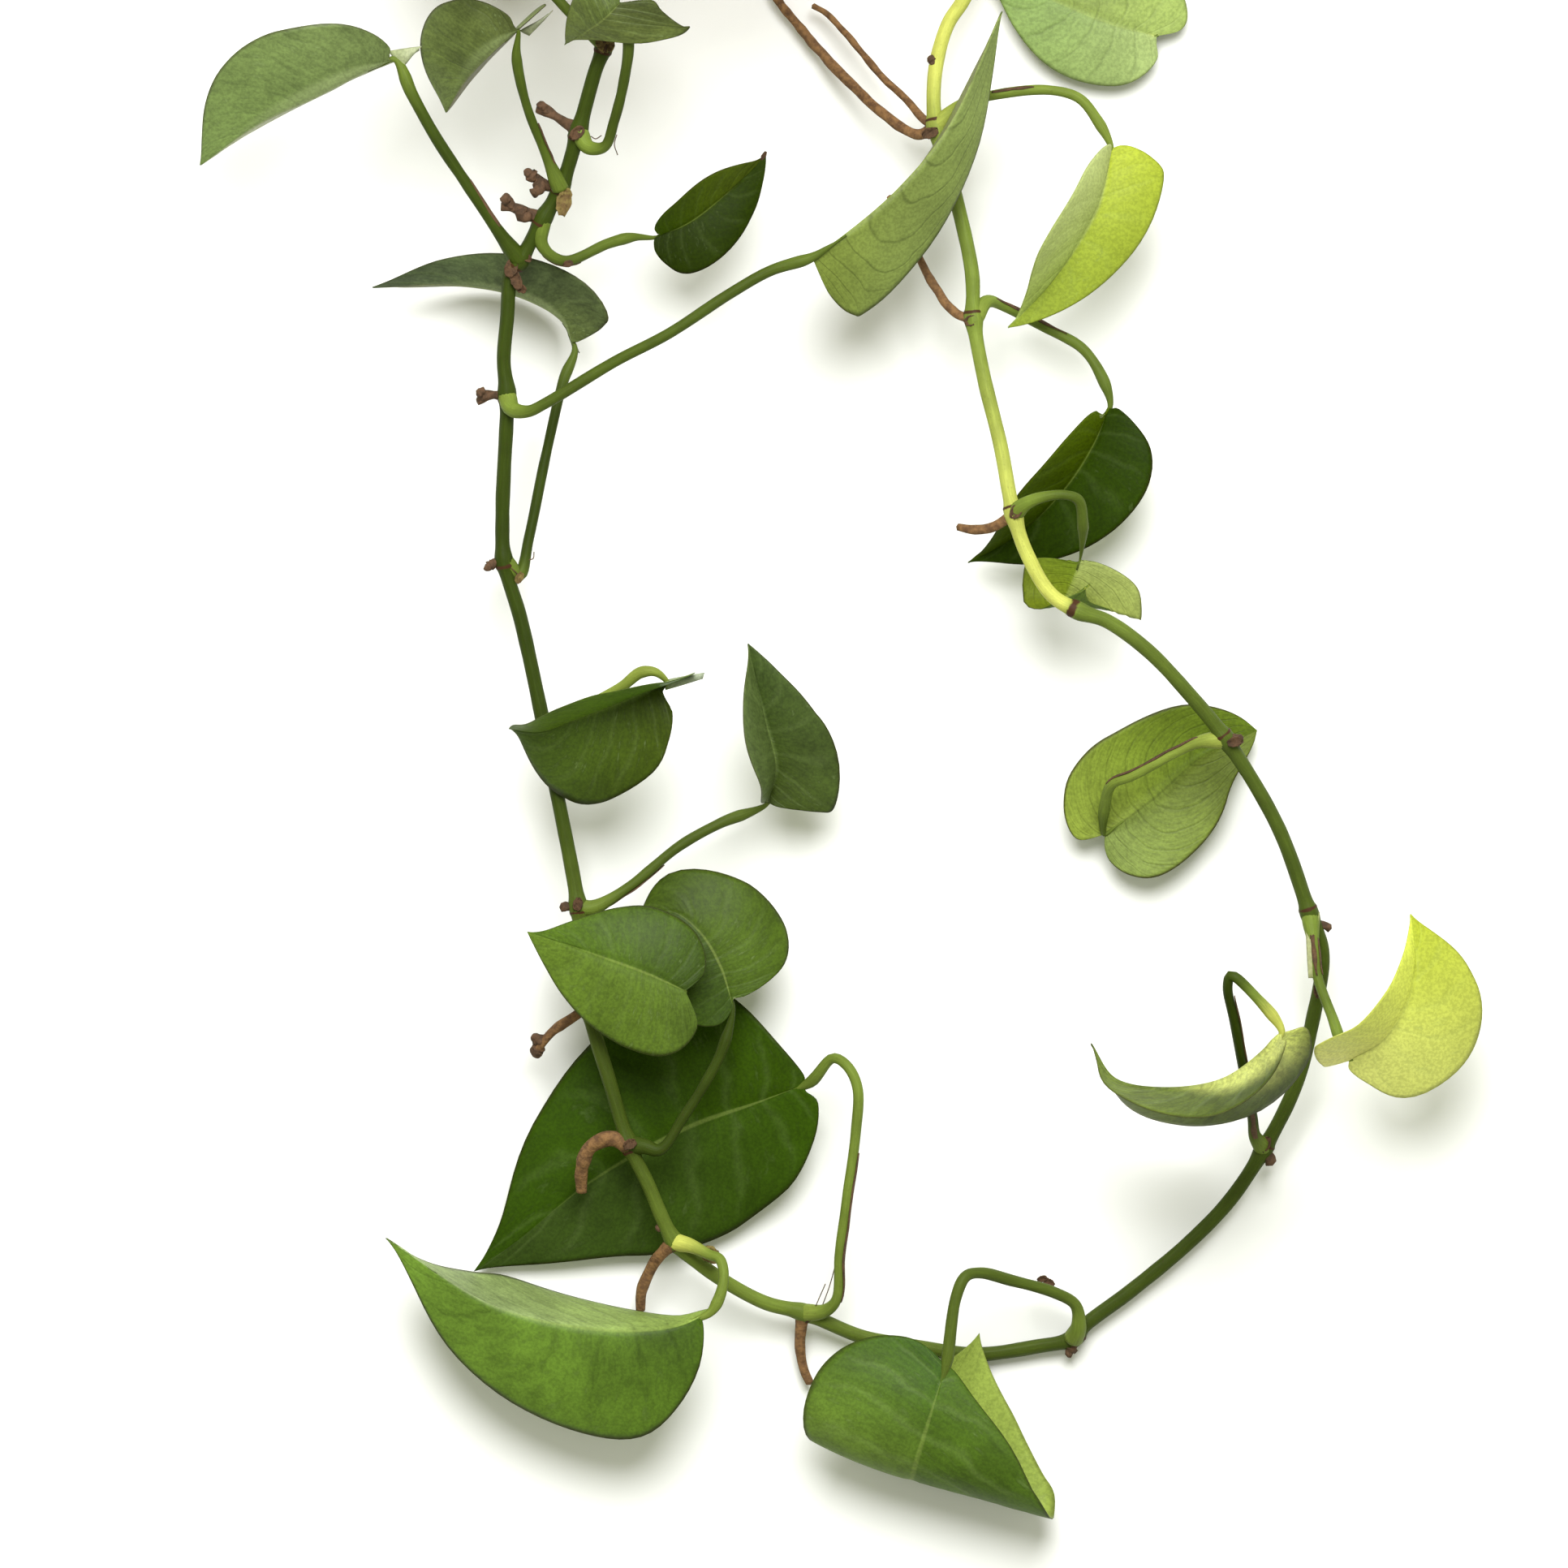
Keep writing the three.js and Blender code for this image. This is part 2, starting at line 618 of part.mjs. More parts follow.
// The blade as a thin solid: both faces lie half a thickness off the middle surface.
function bladeSolid(leaf) {
  const { points, faces, loop } = bladeSurface(leaf, ribFrames(leaf.rib));
  const middle = new THREE.BufferGeometry().setFromPoints(points);
  middle.setIndex(faces.flat());
  middle.computeVertexNormals();
  const normals = middle.attributes.normal;
  const lifted = (sign) => points.map((point, index) => {
    const normal = new THREE.Vector3().fromBufferAttribute(normals, index);
    return point.clone().addScaledVector(normal, (sign * BLADE_THICKNESS) / 2);
  });
  const count = points.length;
  const triangles = [];
  for (const [a, b, c] of faces) {
    triangles.push([a, b, c], [a + count, c + count, b + count]);
  }
  loop.forEach((a, place) => {
    const b = loop[(place + 1) % loop.length];
    triangles.push([a, a + count, b + count], [a, b + count, b]);
  });
  const geometry = new THREE.BufferGeometry().setFromPoints([...lifted(1), ...lifted(-1)]);
  geometry.setIndex(triangles.flat());
  return solidOf(geometry);
}

// A blade and its petiole grow as one piece. The petiole runs on under the rib for a little way, from
// a start inside its own end, because some blades turn sharply back over their petiole.
function leafMesh(leaf, sleeve) {
  const frames = ribFrames(leaf.rib);
  const base = frames.places[0];
  const knuckle = leaf.petiole.at(-1).clone().sub(base).setLength(PETIOLE_RADIUS).add(base);
  const seat = frames.places[RIB_SEAT_STATION].clone();
  const underside = leaf.faceDown ? 1 : -1;
  seat.addScaledVector(frames.up[RIB_SEAT_STATION], underside * RIB_SEAT_DEPTH);
  const petiole = barAlong([...leaf.petiole, base], PETIOLE_RADIUS, PETIOLE_SIDES, PETIOLE_STEPS)
    .add(barAlong([knuckle, seat], PETIOLE_RADIUS, PETIOLE_SIDES, 1))
    .subtract(sleeve);
  const solid = largestPiece(bladeSolid(leaf).add(largestPiece(petiole)));
  return meshOf(leaf.name, solid, { color: TINTS[leaf.tint], roughness: 0.45, metalness: 0 });
}

function largestPiece(solid) {
  return solid.decompose().reduce((best, piece) => (piece.volume() > best.volume() ? piece : best));
}

// A stem, and the room around it: the same path a clearance wider, running on past both its ends.
function stemPair(points, steps) {
  const wide = STEM_RADIUS + CLEARANCE;
  const ends = [[points[1], points[0]], [points.at(-2), points.at(-1)]];
  const sleeve = ends.reduce((room, [inner, end]) => {
    const out = end.clone().sub(inner).setLength(CLEARANCE * 2);
    const tail = [end.clone().sub(out), end.clone().add(out)];
    return room.add(barAlong(tail, wide, STEM_SIDES, 1));
  }, barAlong(points, wide, STEM_SIDES, steps));
  return { stem: barAlong(points, STEM_RADIUS, STEM_SIDES, steps), sleeve };
}

function rootSolid({ radius, path }) {
  const points = toVectors(path, VINE_CENTRE);
  const length = new THREE.CatmullRomCurve3(points).getLength();
  return barAlong(points, radius, ROOT_SIDES, Math.max(1, Math.round(length / ROOT_STEP_LENGTH)));
}

// A crown leaf stands off its shoot, rises on its petiole and bends over to its tip.
function crownLeaf(name, shootPoints, { height, azimuth, reach, rise, length }) {
  const spots = new THREE.CatmullRomCurve3(shootPoints).getSpacedPoints(RIB_STATIONS * 4);
  const joint = spots.find((spot) => spot.z >= height);
  const turn = THREE.MathUtils.degToRad(azimuth);
  const at = (out, lift) => joint.clone()
    .add(new THREE.Vector3(Math.cos(turn) * out, Math.sin(turn) * out, lift));
  const half = [length * CROWN_HALF_WIDTH_SHARE, length * CROWN_LOBE_SHARE, CROWN_WIDEST,
    CROWN_FOLD_DEGREES, CROWN_FOLD_DEGREES, CROWN_CURL_DEGREES];
  return {
    name,
    tint: 'mid',
    petiole: [joint, at(reach * 0.35, rise * 0.55), at(reach * 0.8, rise * 0.95)],
    rib: [at(reach, rise), at(reach + length * 0.33, rise + length * 0.02),
      at(reach + length * 0.66, rise - length * 0.12), at(reach + length * 0.92, rise - length * 0.36)],
    left: half,
    right: half,
  };
}

function potSolid() {
  const bandBottom = POT_HEIGHT - POT_BAND_HEIGHT;
  const profile = [
    [0, 0], [POT_BASE_RADIUS, 0], [POT_SHOULDER_RADIUS, bandBottom - 2], [POT_BAND_RADIUS, bandBottom],
    [POT_RIM_RADIUS, POT_HEIGHT - 2], [POT_RIM_RADIUS - 1.5, POT_HEIGHT],
    [POT_RIM_RADIUS - POT_WALL, POT_HEIGHT], [POT_SHOULDER_RADIUS - POT_WALL, bandBottom],
    [POT_BASE_RADIUS - POT_WALL, POT_FLOOR], [0, POT_FLOOR],
  ].map(([radius, height]) => new THREE.Vector2(radius, height));
  return solidOf(new THREE.LatheGeometry(profile, POT_SIDES).rotateX(Math.PI / 2));
}

// The soil fills the pot up to below its rim, a clearance inside the wall, and is a little domed.
function soilSolid(sleeves) {
  const bandBottom = POT_HEIGHT - POT_BAND_HEIGHT;
  const gap = POT_WALL + CLEARANCE;
  const slope = (POT_SHOULDER_RADIUS - POT_BASE_RADIUS) / (bandBottom - POT_FLOOR);
  const bandSlope = (POT_RIM_RADIUS - POT_SHOULDER_RADIUS) / POT_BAND_HEIGHT;
  const bottom = POT_FLOOR + CLEARANCE;
  const profile = [
    [0, bottom], [POT_BASE_RADIUS - gap + slope * CLEARANCE, bottom], [POT_SHOULDER_RADIUS - gap, bandBottom],
    [POT_SHOULDER_RADIUS - gap + bandSlope * (SOIL_EDGE_HEIGHT - bandBottom), SOIL_EDGE_HEIGHT],
    [POT_SHOULDER_RADIUS * 0.6, SOIL_TOP_HEIGHT - 1], [0, SOIL_TOP_HEIGHT],
  ].map(([radius, height]) => new THREE.Vector2(radius, height));
  const filled = solidOf(new THREE.LatheGeometry(profile, POT_SIDES).rotateX(Math.PI / 2));
  return sleeves.reduce((soil, sleeve) => soil.subtract(sleeve), filled);
}

const plant = new THREE.Group();

const vine = stemPair(toVectors(STEM_PATH, VINE_CENTRE), STEM_STEPS);
const vineWithRoots = ROOTS.reduce((solid, root) => solid.add(rootSolid(root)), vine.stem);
plant.add(meshOf('vine_stem', vineWithRoots, { color: 0x4f7a2c, roughness: 0.5, metalness: 0 }));
for (const { name, tint, faceDown, petiole, rib, left, right } of LEAVES) {
  const leaf = {
    name,
    tint,
    faceDown,
    petiole: toVectors(petiole, VINE_CENTRE),
    rib: toVectors(rib, VINE_CENTRE),
    left,
    right,
  };
  plant.add(leafMesh(leaf, vine.sleeve));
}

const sleeves = [vine.sleeve];
for (const shoot of SHOOTS) {
  const points = toVectors(shoot.path, new THREE.Vector3());
  const { stem, sleeve } = stemPair(points, SHOOT_STEPS);
  sleeves.push(sleeve);
  plant.add(meshOf(shoot.name, stem, { color: 0x6f9a38, roughness: 0.5, metalness: 0 }));
  shoot.leaves.forEach((leaf, index) => {
    plant.add(leafMesh(crownLeaf(`${shoot.name}_leaf_${index + 1}`, points, leaf), sleeve));
  });
}

plant.add(meshOf('pot', potSolid(), { color: 0xb5623c, roughness: 0.85, metalness: 0 }));
plant.add(meshOf('soil', soilSolid(sleeves), { color: 0x3a2a1e, roughness: 1, metalness: 0 }));

export default plant;
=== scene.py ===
"""A potted trailing aroid, dressed around its CAD frame: fine leaves with veins, a stem with its
joints and air roots, a clay pot of soil, soft light and a camera straight above the vine."""
import math

import bpy
import numpy as np
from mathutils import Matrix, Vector


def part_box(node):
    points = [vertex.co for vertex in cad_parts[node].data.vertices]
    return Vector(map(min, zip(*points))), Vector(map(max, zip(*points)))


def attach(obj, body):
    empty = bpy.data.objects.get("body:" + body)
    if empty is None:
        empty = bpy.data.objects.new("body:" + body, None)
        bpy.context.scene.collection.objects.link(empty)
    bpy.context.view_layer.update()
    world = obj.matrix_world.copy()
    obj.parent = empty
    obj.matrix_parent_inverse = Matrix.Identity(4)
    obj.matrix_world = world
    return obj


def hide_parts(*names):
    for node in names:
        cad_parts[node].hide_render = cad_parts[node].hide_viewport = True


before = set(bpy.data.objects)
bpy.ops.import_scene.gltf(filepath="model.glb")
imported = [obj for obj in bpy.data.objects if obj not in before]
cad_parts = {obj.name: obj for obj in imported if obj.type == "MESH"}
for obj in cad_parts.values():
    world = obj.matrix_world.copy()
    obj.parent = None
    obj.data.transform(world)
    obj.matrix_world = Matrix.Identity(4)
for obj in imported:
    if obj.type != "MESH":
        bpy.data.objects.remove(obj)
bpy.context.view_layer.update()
rng = np.random.default_rng(7)

# Metres. The vine's points below are millimetres from the middle of the U that it lies in.
MM = 0.001
VINE_CENTRE = np.array([30.0, -372.0, 0.0])
POT_CENTRE = np.zeros(3)

# The photograph: a square 483 mm wide, seen straight down from four metres, one pixel to 0.25 mm
CAMERA_HEIGHT = 4.0
VIEW_WIDTH = 0.483
PICTURE_MIDDLE = 966
PIXEL = 0.25

# Pot and soil, as in the frame
POT_HIGH = np.array(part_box("pot")[1])
SOIL_LOW, SOIL_HIGH = (np.array(corner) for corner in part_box("soil"))

# Stem, petioles and blades, in millimetres
STEM_RADIUS = 2.3
PETIOLE_RADIUS = 1.5
BLADE_THICKNESS = 0.6
BLADE_ROWS = 55
BLADE_COLUMNS = 14
RIB_STATIONS = 96
RIB_CREEP = 1.6

# Half of a blade's outline, from the notch at the petiole to the tip: the part it lies in (0 up to
# the widest place, 1 beyond it), how far along that part, and how far out against the half width.
HALF_OUTLINE = [
    (0, 0.05, 0.14), (0, 0, 0.34), (0, 0.12, 0.62), (0, 0.4, 0.87), (0, 0.8, 0.99),
    (1, 0.12, 0.985), (1, 0.36, 0.85), (1, 0.6, 0.59), (1, 0.81, 0.28), (1, 0.93, 0.1),
]

# Relief on a blade, in millimetres, with the midrib's widths as shares of the half width, and its side
# veins: how many rows of them along the midrib, and how far they sweep towards the tip before they
# reach the margin, as a share of the blade.
SIDE_VEINS = 9
VEIN_SWEEP = 0.07
QUILT_DEPTH = 0.16
MARGIN_WAVE = 0.45
WAVES_PER_BLADE = 2.3
MIDRIB_DEPTH, MIDRIB_WIDTH = 0.35, 0.05
RIDGE_HEIGHT, RIDGE_WIDTH = 0.75, 0.055
MARGIN_THINNING = 0.65

# Swelling and brown ring at the stem's joints, in millimetres
JOINT_SWELLING, JOINT_REACH = 0.75, 3.2
JOINT_LIP, LIP_PLACE, LIP_REACH = 0.25, 1.8, 0.5
RING_PLACE, RING_REACH, BARE_RING_REACH = 1.9, 0.8, 1.9

# A petiole: swollen at its foot, and a little at the joint below the blade, after which it thins out
PETIOLE_STATIONS, PETIOLE_SIDES = 80, 14
FOOT_SWELLING, FOOT_REACH = 1.2, 8
TOP_SWELLING, TOP_REACH, THIN_FROM = 0.25, 6, 16
FOOT_AGE_REACH, TOP_AGE_REACH = 11, 12

# Thickness of dried sheaths and bracts, of green flaps, and the radius of a fibre, in millimetres
PAPER_THICKNESS, FLAP_THICKNESS, FIBRE_RADIUS = 0.25, 0.4, 0.16

# Where the random draws for each kind of part start
STEM_START, KNOBS_START, SHEATH_EDGE_START, SHEATH_LIFT_START = 11, 100, 300, 400
ROOT_BENDS_START, SCRAP_START, PRONGS_START, SHOOT_LEAVES_START = 500, 700, 40, 40

# The vine: its stem, and its air roots and stubs, each with its radius
STEM_PATH = [
    (-36, 331, 66), (-35.5, 328, 98), (-36.5, 319, 124), (-38.5, 304.5, 135), (-42, 290, 134),
    (-45, 275.5, 117), (-48.5, 260.5, 91), (-52, 244.5, 70), (-54.5, 224.5, 60), (-57.5, 216, 58),
    (-62.5, 198.5, 53), (-68, 181.5, 48), (-73.5, 172, 46), (-80.5, 159.5, 43), (-83, 156.5, 42),
    (-84.5, 141.5, 40), (-85.5, 129, 38), (-84.5, 118.5, 37), (-85.5, 95.5, 33), (-86, 82, 31),
    (-85.5, 68, 30), (-80.5, 50.5, 29), (-74.5, 23, 28), (-69.5, -2.5, 27), (-63, -37.5, 26),
    (-60, -68, 25), (-53.5, -91, 24), (-47.5, -110.5, 23), (-42, -122, 22), (-33.5, -140.5, 18),
    (-27, -146.5, 16), (-17, -153.5, 13), (-5.5, -159.5, 11), (6, -162.5, 9), (24, -170, 6),
    (40.5, -173, 5), (58.5, -175.5, 4), (78, -173, 4), (89, -170.5, 5), (92.5, -166.5, 5),
    (106.5, -156, 5), (124.5, -141, 6), (137, -128, 7), (147.5, -112, 10), (157, -92.5, 15),
    (162, -73, 19), (165, -51.5, 23), (161, -40, 26), (151, -13, 30), (135, 13.5, 34), (123.5, 27.5, 38),
    (111, 40.5, 42), (98.5, 49.5, 44), (90, 52.5, 45), (81.5, 57.5, 45), (74, 70, 44), (70, 82, 43),
    (66, 103.5, 38), (61, 124.5, 34), (58, 142, 31), (57.5, 156.5, 29), (52.5, 180, 26),
    (46.5, 201.5, 24), (46, 214.5, 22), (47.5, 224.5, 20), (50.5, 233.5, 18), (55, 240.5, 16),
    (62, 255.5, 13), (68.5, 268, 12), (74, 286, 10), (77, 303.5, 8), (78.5, 323.5, 7), (77, 341, 8),
]
ROOTS = [
    (1.6, [(-62.5, 198.5, 53), (-68, 202, 51), (-74.5, 206, 49)]),
    (1.5, [(-68, 181.5, 48), (-73.5, 183, 47), (-78, 186, 46)]),
    (1.7, [(-73.5, 172, 46), (-80, 174.5, 45), (-85.5, 177, 44)]),
    (1.4, [(-84.5, 118.5, 37), (-88.5, 119, 36), (-92.5, 118, 35)]),
    (1.3, [(-85.5, 68, 30), (-90, 67, 30)]),
    (1.3, [(-63, -37.5, 26), (-68, -37.5, 26)]),
    (1.5, [(-60, -68, 25), (-65.5, -72, 24), (-71, -76, 22), (-75.5, -81.5, 19)]),
    (2.2, [(-47.5, -110.5, 23), (-53, -108.5, 24), (-59.5, -111.5, 23), (-62, -118, 20),
           (-62, -125, 17)]),
    (1.8, [(-33.5, -140.5, 18), (-37, -143.5, 17), (-40.5, -148, 14), (-43.5, -155, 12),
           (-44, -161.5, 9)]),
    (1.6, [(6, -162.5, 9), (5, -168, 7), (5, -174.5, 5), (6.5, -181, 4), (8, -184.5, 4)]),
    (1.3, [(89, -170.5, 5), (88.5, -174.5, 5)]),
    (1.4, [(147.5, -112, 10), (149.5, -116.5, 10)]),
    (1.3, [(135, 13.5, 34), (140, 14.5, 34)]),
    (1.5, [(70, 82, 43), (64, 78.5, 41), (58, 77.5, 39), (53, 78.5, 38)]),
    (1.3, [(58, 142, 31), (52.5, 144, 28), (46, 152.5, 24), (41.5, 161, 20), (36, 172, 16),
           (32.5, 180.5, 13)]),
    (1.5, [(46.5, 201.5, 24), (41, 199, 20), (29.5, 206.5, 14), (17, 219, 8), (10, 226.5, 5),
           (3.5, 234.5, 4), (-2, 241.5, 4), (-7.5, 251.5, 3), (-11.5, 259, 3)]),
    (1.1, [(46.5, 201.5, 24), (43.5, 203, 22), (37, 210.5, 17), (28, 219.5, 12), (20, 229.5, 9),
           (13.5, 236.5, 7), (9, 239.5, 6)]),
]
# A root with no more points than this is a stub.
STUB_POINTS = 3

# The leaves: name and tint, the places along the petiole and along the midrib, and the blade's left
# and right halves. A half has its width, how far its lobe reaches behind the petiole, how far along
# the midrib it is widest, its tilt at the base and at the tip and its curl in degrees, and at times
# how full its shoulder and its tip are. The last word is there for a leaf that lies face down.
LEAF_FIELDS = ("name", "tint", "petiole", "rib", "left", "right", "face_down")
LEAVES = [dict(zip(LEAF_FIELDS, row)) for row in (
    ("leaf_01", "dark",
     [(-45, 275.5, 117), (-39, 276, 123), (-29.5, 272, 128)],
     [(-22, 268.5, 130), (-8.5, 262, 130), (4.5, 256.5, 121), (15.5, 253, 106)],
     (22, 6, 0.34, 6, 6, -30), (22, 6, 0.34, 6, 6, -30)),
    ("leaf_02", "mid",
     [(-48.5, 260.5, 91), (-54, 263, 99), (-63.5, 266.5, 105)],
     [(-71, 269, 107), (-85.5, 275.5, 105), (-100.5, 280.5, 93), (-113, 283.5, 76)],
     (24, 7, 0.34, 4, 4, -30), (24, 7, 0.34, 4, 4, -30)),
    ("leaf_03", "mid",
     [(-54.5, 224.5, 60), (-60, 229.5, 62), (-65, 234, 63), (-72.5, 243, 64)],
     [(-76.5, 253, 66), (-79.5, 264.5, 68), (-87, 277, 64), (-99, 289, 54)],
     (24, 5, 0.38, -12, -12, -20), (24, 5, 0.38, 10, 10, -30)),
    ("leaf_04", "dark",
     [(-62.5, 198.5, 53), (-59.5, 193.5, 55), (-54.5, 193.5, 58), (-51.5, 201, 63), (-48.5, 212.5, 70),
      (-47, 224.5, 77)],
     [(-49.5, 235.5, 85), (-54, 231, 84), (-61, 226.5, 76), (-66.5, 224, 66)],
     (21.8, 7, -0.31, -12, -20, -20, 0.64, 2.96), (13, 2, 0.1, 5, 5, -20, 1, 1.2)),
    ("leaf_05", "dark",
     [(-68, 181, 49.5), (-73.5, 194, 55), (-77.5, 204, 61), (-80, 213.5, 66), (-81, 221, 70)],
     [(-80.5, 228, 74), (-88.5, 221, 71), (-96.5, 213.5, 60), (-103, 204.5, 45)],
     (22, 10, 0.35, -95, -92, 0), (22, 1, 0.4, 12, 12, -30, 1.3, 1)),
    ("leaf_06", "dark",
     [(-73.5, 172, 46), (-74, 165, 45), (-71, 161, 44), (-66, 159.5, 42), (-53.5, 165, 37),
      (-46, 167, 34)],
     [(-39.5, 167, 32), (-29, 171.5, 33), (-17, 181, 31), (-5.5, 192.5, 25)],
     (12, -1, 0.38, 50, 50, 0, 1.4, 1.2), (14.5, 1.5, 0.2, 8, 8, -25, 1.1, 0.85)),
    ("leaf_07", "mid",
     [(-80.5, 159.5, 43), (-87.5, 169, 48), (-95.5, 181, 52), (-105.5, 196, 56), (-113, 209.5, 59)],
     [(-118, 220, 60), (-129, 215, 62), (-141.5, 208.5, 62), (-159, 200.5, 57), (-178, 188.5, 44)],
     (24, 9, 0.35, -92, -93, 0), (24.5, -0.5, 0.45, 41, 16, -20, 1.6, 1)),
    ("leaf_08", "mid",
     [(-84.5, 118.5, 37), (-83, 114.5, 40), (-78, 113.5, 44), (-72.5, 116, 46), (-51.5, 128.5, 49),
      (-35, 137, 51), (-16.5, 149, 53), (-4, 156, 54)],
     [(8.5, 160, 55), (18, 166, 56), (34.5, 180, 56), (50.5, 200, 53), (66.5, 235.5, 44)],
     (26, 6, 0.3, -88, -88, 0), (25.2, 1.8, 0.05, -16, -53, -20, 0.52, 1), True),
    ("leaf_09", "dark",
     [(-85.5, 68, 30), (-81, 64, 28), (-78, 75.5, 27), (-73, 100, 26), (-67.5, 123.5, 25)],
     [(-64, 133, 24), (-68, 141.5, 25), (-81, 149, 24), (-101.5, 153, 20), (-126.5, 152.5, 13)],
     (20, 2, 0.35, -95, -95, 0), (18, -2, 0.11, 37, 60, 0, 2.1, 0.9)),
    ("leaf_10", "dark",
     [(-73, 15, 28), (-66, 21.5, 33), (-56, 26, 38), (-49, 30, 42), (-43.5, 34, 45), (-39, 34, 46)],
     [(-35.5, 30.5, 44), (-42.5, 28, 44), (-52, 24, 43), (-63.5, 19.5, 42), (-74, 16, 39), (-84, 17, 35)],
     (27.7, -1.3, 0.68, 12, -20, -20, 1.09, 1.61), (23.5, 9, 0.3, 88, 66, 0, 1.25, 0.8)),
    ("leaf_11", "dark",
     [(-63, -37.5, 26), (-59, -38, 26), (-47.5, -31.5, 24), (-32, -19, 22), (-19.5, -12, 21)],
     [(-5, -6, 20), (-2.5, 5, 23), (-5.5, 19, 27), (-8.5, 31.5, 31), (-11, 43, 34)],
     (22, -2, 0.29, 84, 66, 0, 0.9, 1.2), (20, 0, 0.09, 15, 15, -30, 1.6, 0.85)),
    ("leaf_12", "mid",
     [(-60, -68, 25), (-51, -70.5, 32), (-41, -68, 39)],
     [(-30, -63, 43), (-41, -58, 44), (-54.5, -53, 43), (-66, -49, 40), (-78.5, -45, 34)],
     (24.5, 8, 0.18, 0, 0, -30, 0.65, 0.9), (20, 3, 0.31, 2, 2, -30, 0.85, 1.6)),
    ("leaf_13", "mid",
     [(-47.5, -110.5, 23), (-42.5, -111, 25), (-38, -112, 26), (-30.5, -101.5, 27), (-25, -93, 28),
      (-19, -81.5, 29)],
     [(-15.5, -68, 30), (-19.5, -55.5, 31), (-26, -45, 31), (-34.5, -39, 29), (-45, -41.5, 25)],
     (22, 4, 0.35, 4, 4, -20), (24, -2, 0.33, 0, 0, -30, 1.7, 0.9)),
    ("leaf_14", "mid",
     [(-33.5, -140.5, 18), (-28.5, -141.5, 22), (-23, -144, 26), (-19.5, -145.5, 29), (-18.5, -152, 31)],
     [(-22, -161, 32), (-32, -165.5, 34), (-55.5, -166.5, 35), (-89, -159.5, 32), (-122, -139, 24)],
     (34.5, -4, 0.26, 4, -16, -30, 3, 1.2), (31, 0, 0.64, -70, -74, 0, 2.5, 3)),
    ("leaf_15", "dark",
     [(6, -162.5, 9), (12, -162, 12), (16, -158.5, 15), (17, -144.5, 19), (19.5, -125.5, 23),
      (22, -106.5, 25), (22.5, -93, 26), (19.5, -86.5, 25), (15, -84, 22)],
     [(8, -91.5, 18), (-9, -98, 15), (-29.5, -105.5, 12), (-59, -122, 9), (-82, -140.5, 6),
      (-95.5, -150, 4)],
     (35, 0, 0.38, -2, -2, -12, 1.5, 1.2), (42, -1, 0.22, 4, 0, -16, 2.5, 1.2)),
    ("leaf_16", "mid",
     [(89, -170.5, 6.5), (90.5, -166.5, 11), (89.5, -160, 14), (83, -156, 18), (69.5, -152, 23),
      (60, -149.5, 29), (55.5, -150.5, 32), (52.5, -157, 33)],
     [(49.5, -178, 33), (45, -192, 35), (40.5, -206.5, 32), (39, -213, 23), (39.5, -211, 13),
      (44, -198.5, 10), (51.5, -183.5, 10), (60, -168.5, 13)],
     (45.3, 0, 0.52, 0, 0, 0, 2.97, 1.2), (38, 5, 0.21, 0, 0, -16, 0.9, 1.5)),
    ("leaf_17", "mid",
     [(147.5, -112, 10), (144.5, -108, 16), (143.5, -102, 22), (140, -86.5, 40), (137, -72.5, 54),
      (134.5, -61.5, 63), (135.5, -58, 66), (142.5, -64, 65)],
     [(151, -75.5, 62), (145.5, -82, 60), (133, -90.5, 57), (114.5, -93, 53), (100.5, -90, 48),
      (93.5, -79, 42)],
     (31, 4, 0.5, -59, -55, 0, 1, 0.75), (24, 0.5, 0.36, 108, 92, 0, 1, 1.8)),
    ("leaf_18", "lime",
     [(161, -40, 26), (162, -50.5, 31), (163, -59, 34), (167, -70.5, 39)],
     [(172.5, -84, 43), (182.5, -78, 46), (189.5, -67, 48), (192, -55.5, 47), (191, -39.5, 41)],
     (23, 6.5, 0, 66, 60, 0, 0.85, 1.4), (26.5, 2, 0.38, -18, -10, -24, 1.9, 1.1)),
    ("leaf_19", "lime",
     [(135, 13.5, 34), (127.5, 13, 33), (120.5, 10, 31), (106.5, 2.5, 27), (100.5, 0, 24),
      (98.5, -6, 18)],
     [(98.5, -15.5, 10), (113.5, -4.5, 10), (128.5, 8.5, 9), (145.5, 16.5, 7)],
     (24.5, 8, 0.26, 5, 12, 10, 1.1, 0.65), (21, 3.5, 0.21, 0, 0, 8, 0.85, 0.75), True),
    ("leaf_20", "lime",
     [(70, 82, 43), (73, 85, 46), (77.5, 87, 48), (85, 88, 49), (89.5, 86.5, 48), (91, 79.5, 44)],
     [(90.5, 69, 35), (88.5, 62.5, 31), (86, 56.5, 28), (86.5, 55, 30.5), (89, 57.5, 34), (93.5, 61, 36)],
     (24.5, 0, 0.5, -6, -6, -8, 1.55, 2.4), (15.6, -2.3, 0.4, -10, -10, -8, 1.5, 3.6), True),
    ("leaf_21", "dark",
     [(58, 142, 31), (62, 147.5, 28), (68, 146, 22), (80, 140, 18), (91.5, 133.5, 19), (97.5, 124.5, 21)],
     [(100, 116, 22), (94.5, 103.5, 22), (86, 90.5, 20), (73, 77.5, 16), (56.5, 68, 8)],
     (21.5, 0, 0.27, 22, 22, -20, 1.8, 1.2), (20, -3.5, 0.5, 60, 60, 0, 1, 1.6)),
    ("leaf_22", "lime",
     [(46.5, 201.5, 24), (54.5, 208, 27), (63.5, 210.5, 30), (80.5, 212, 33), (90, 209.5, 34),
      (95.5, 203, 34)],
     [(100, 194, 34), (96.5, 177.5, 36), (90, 165, 35), (80.5, 152, 32), (68.5, 139.5, 28)],
     (17.5, 2, 0.11, 8, 8, -30, 1, 0.8), (22, 1, 0.5, 64, 64, 0, 2.1, 2)),
    ("leaf_23", "lime",
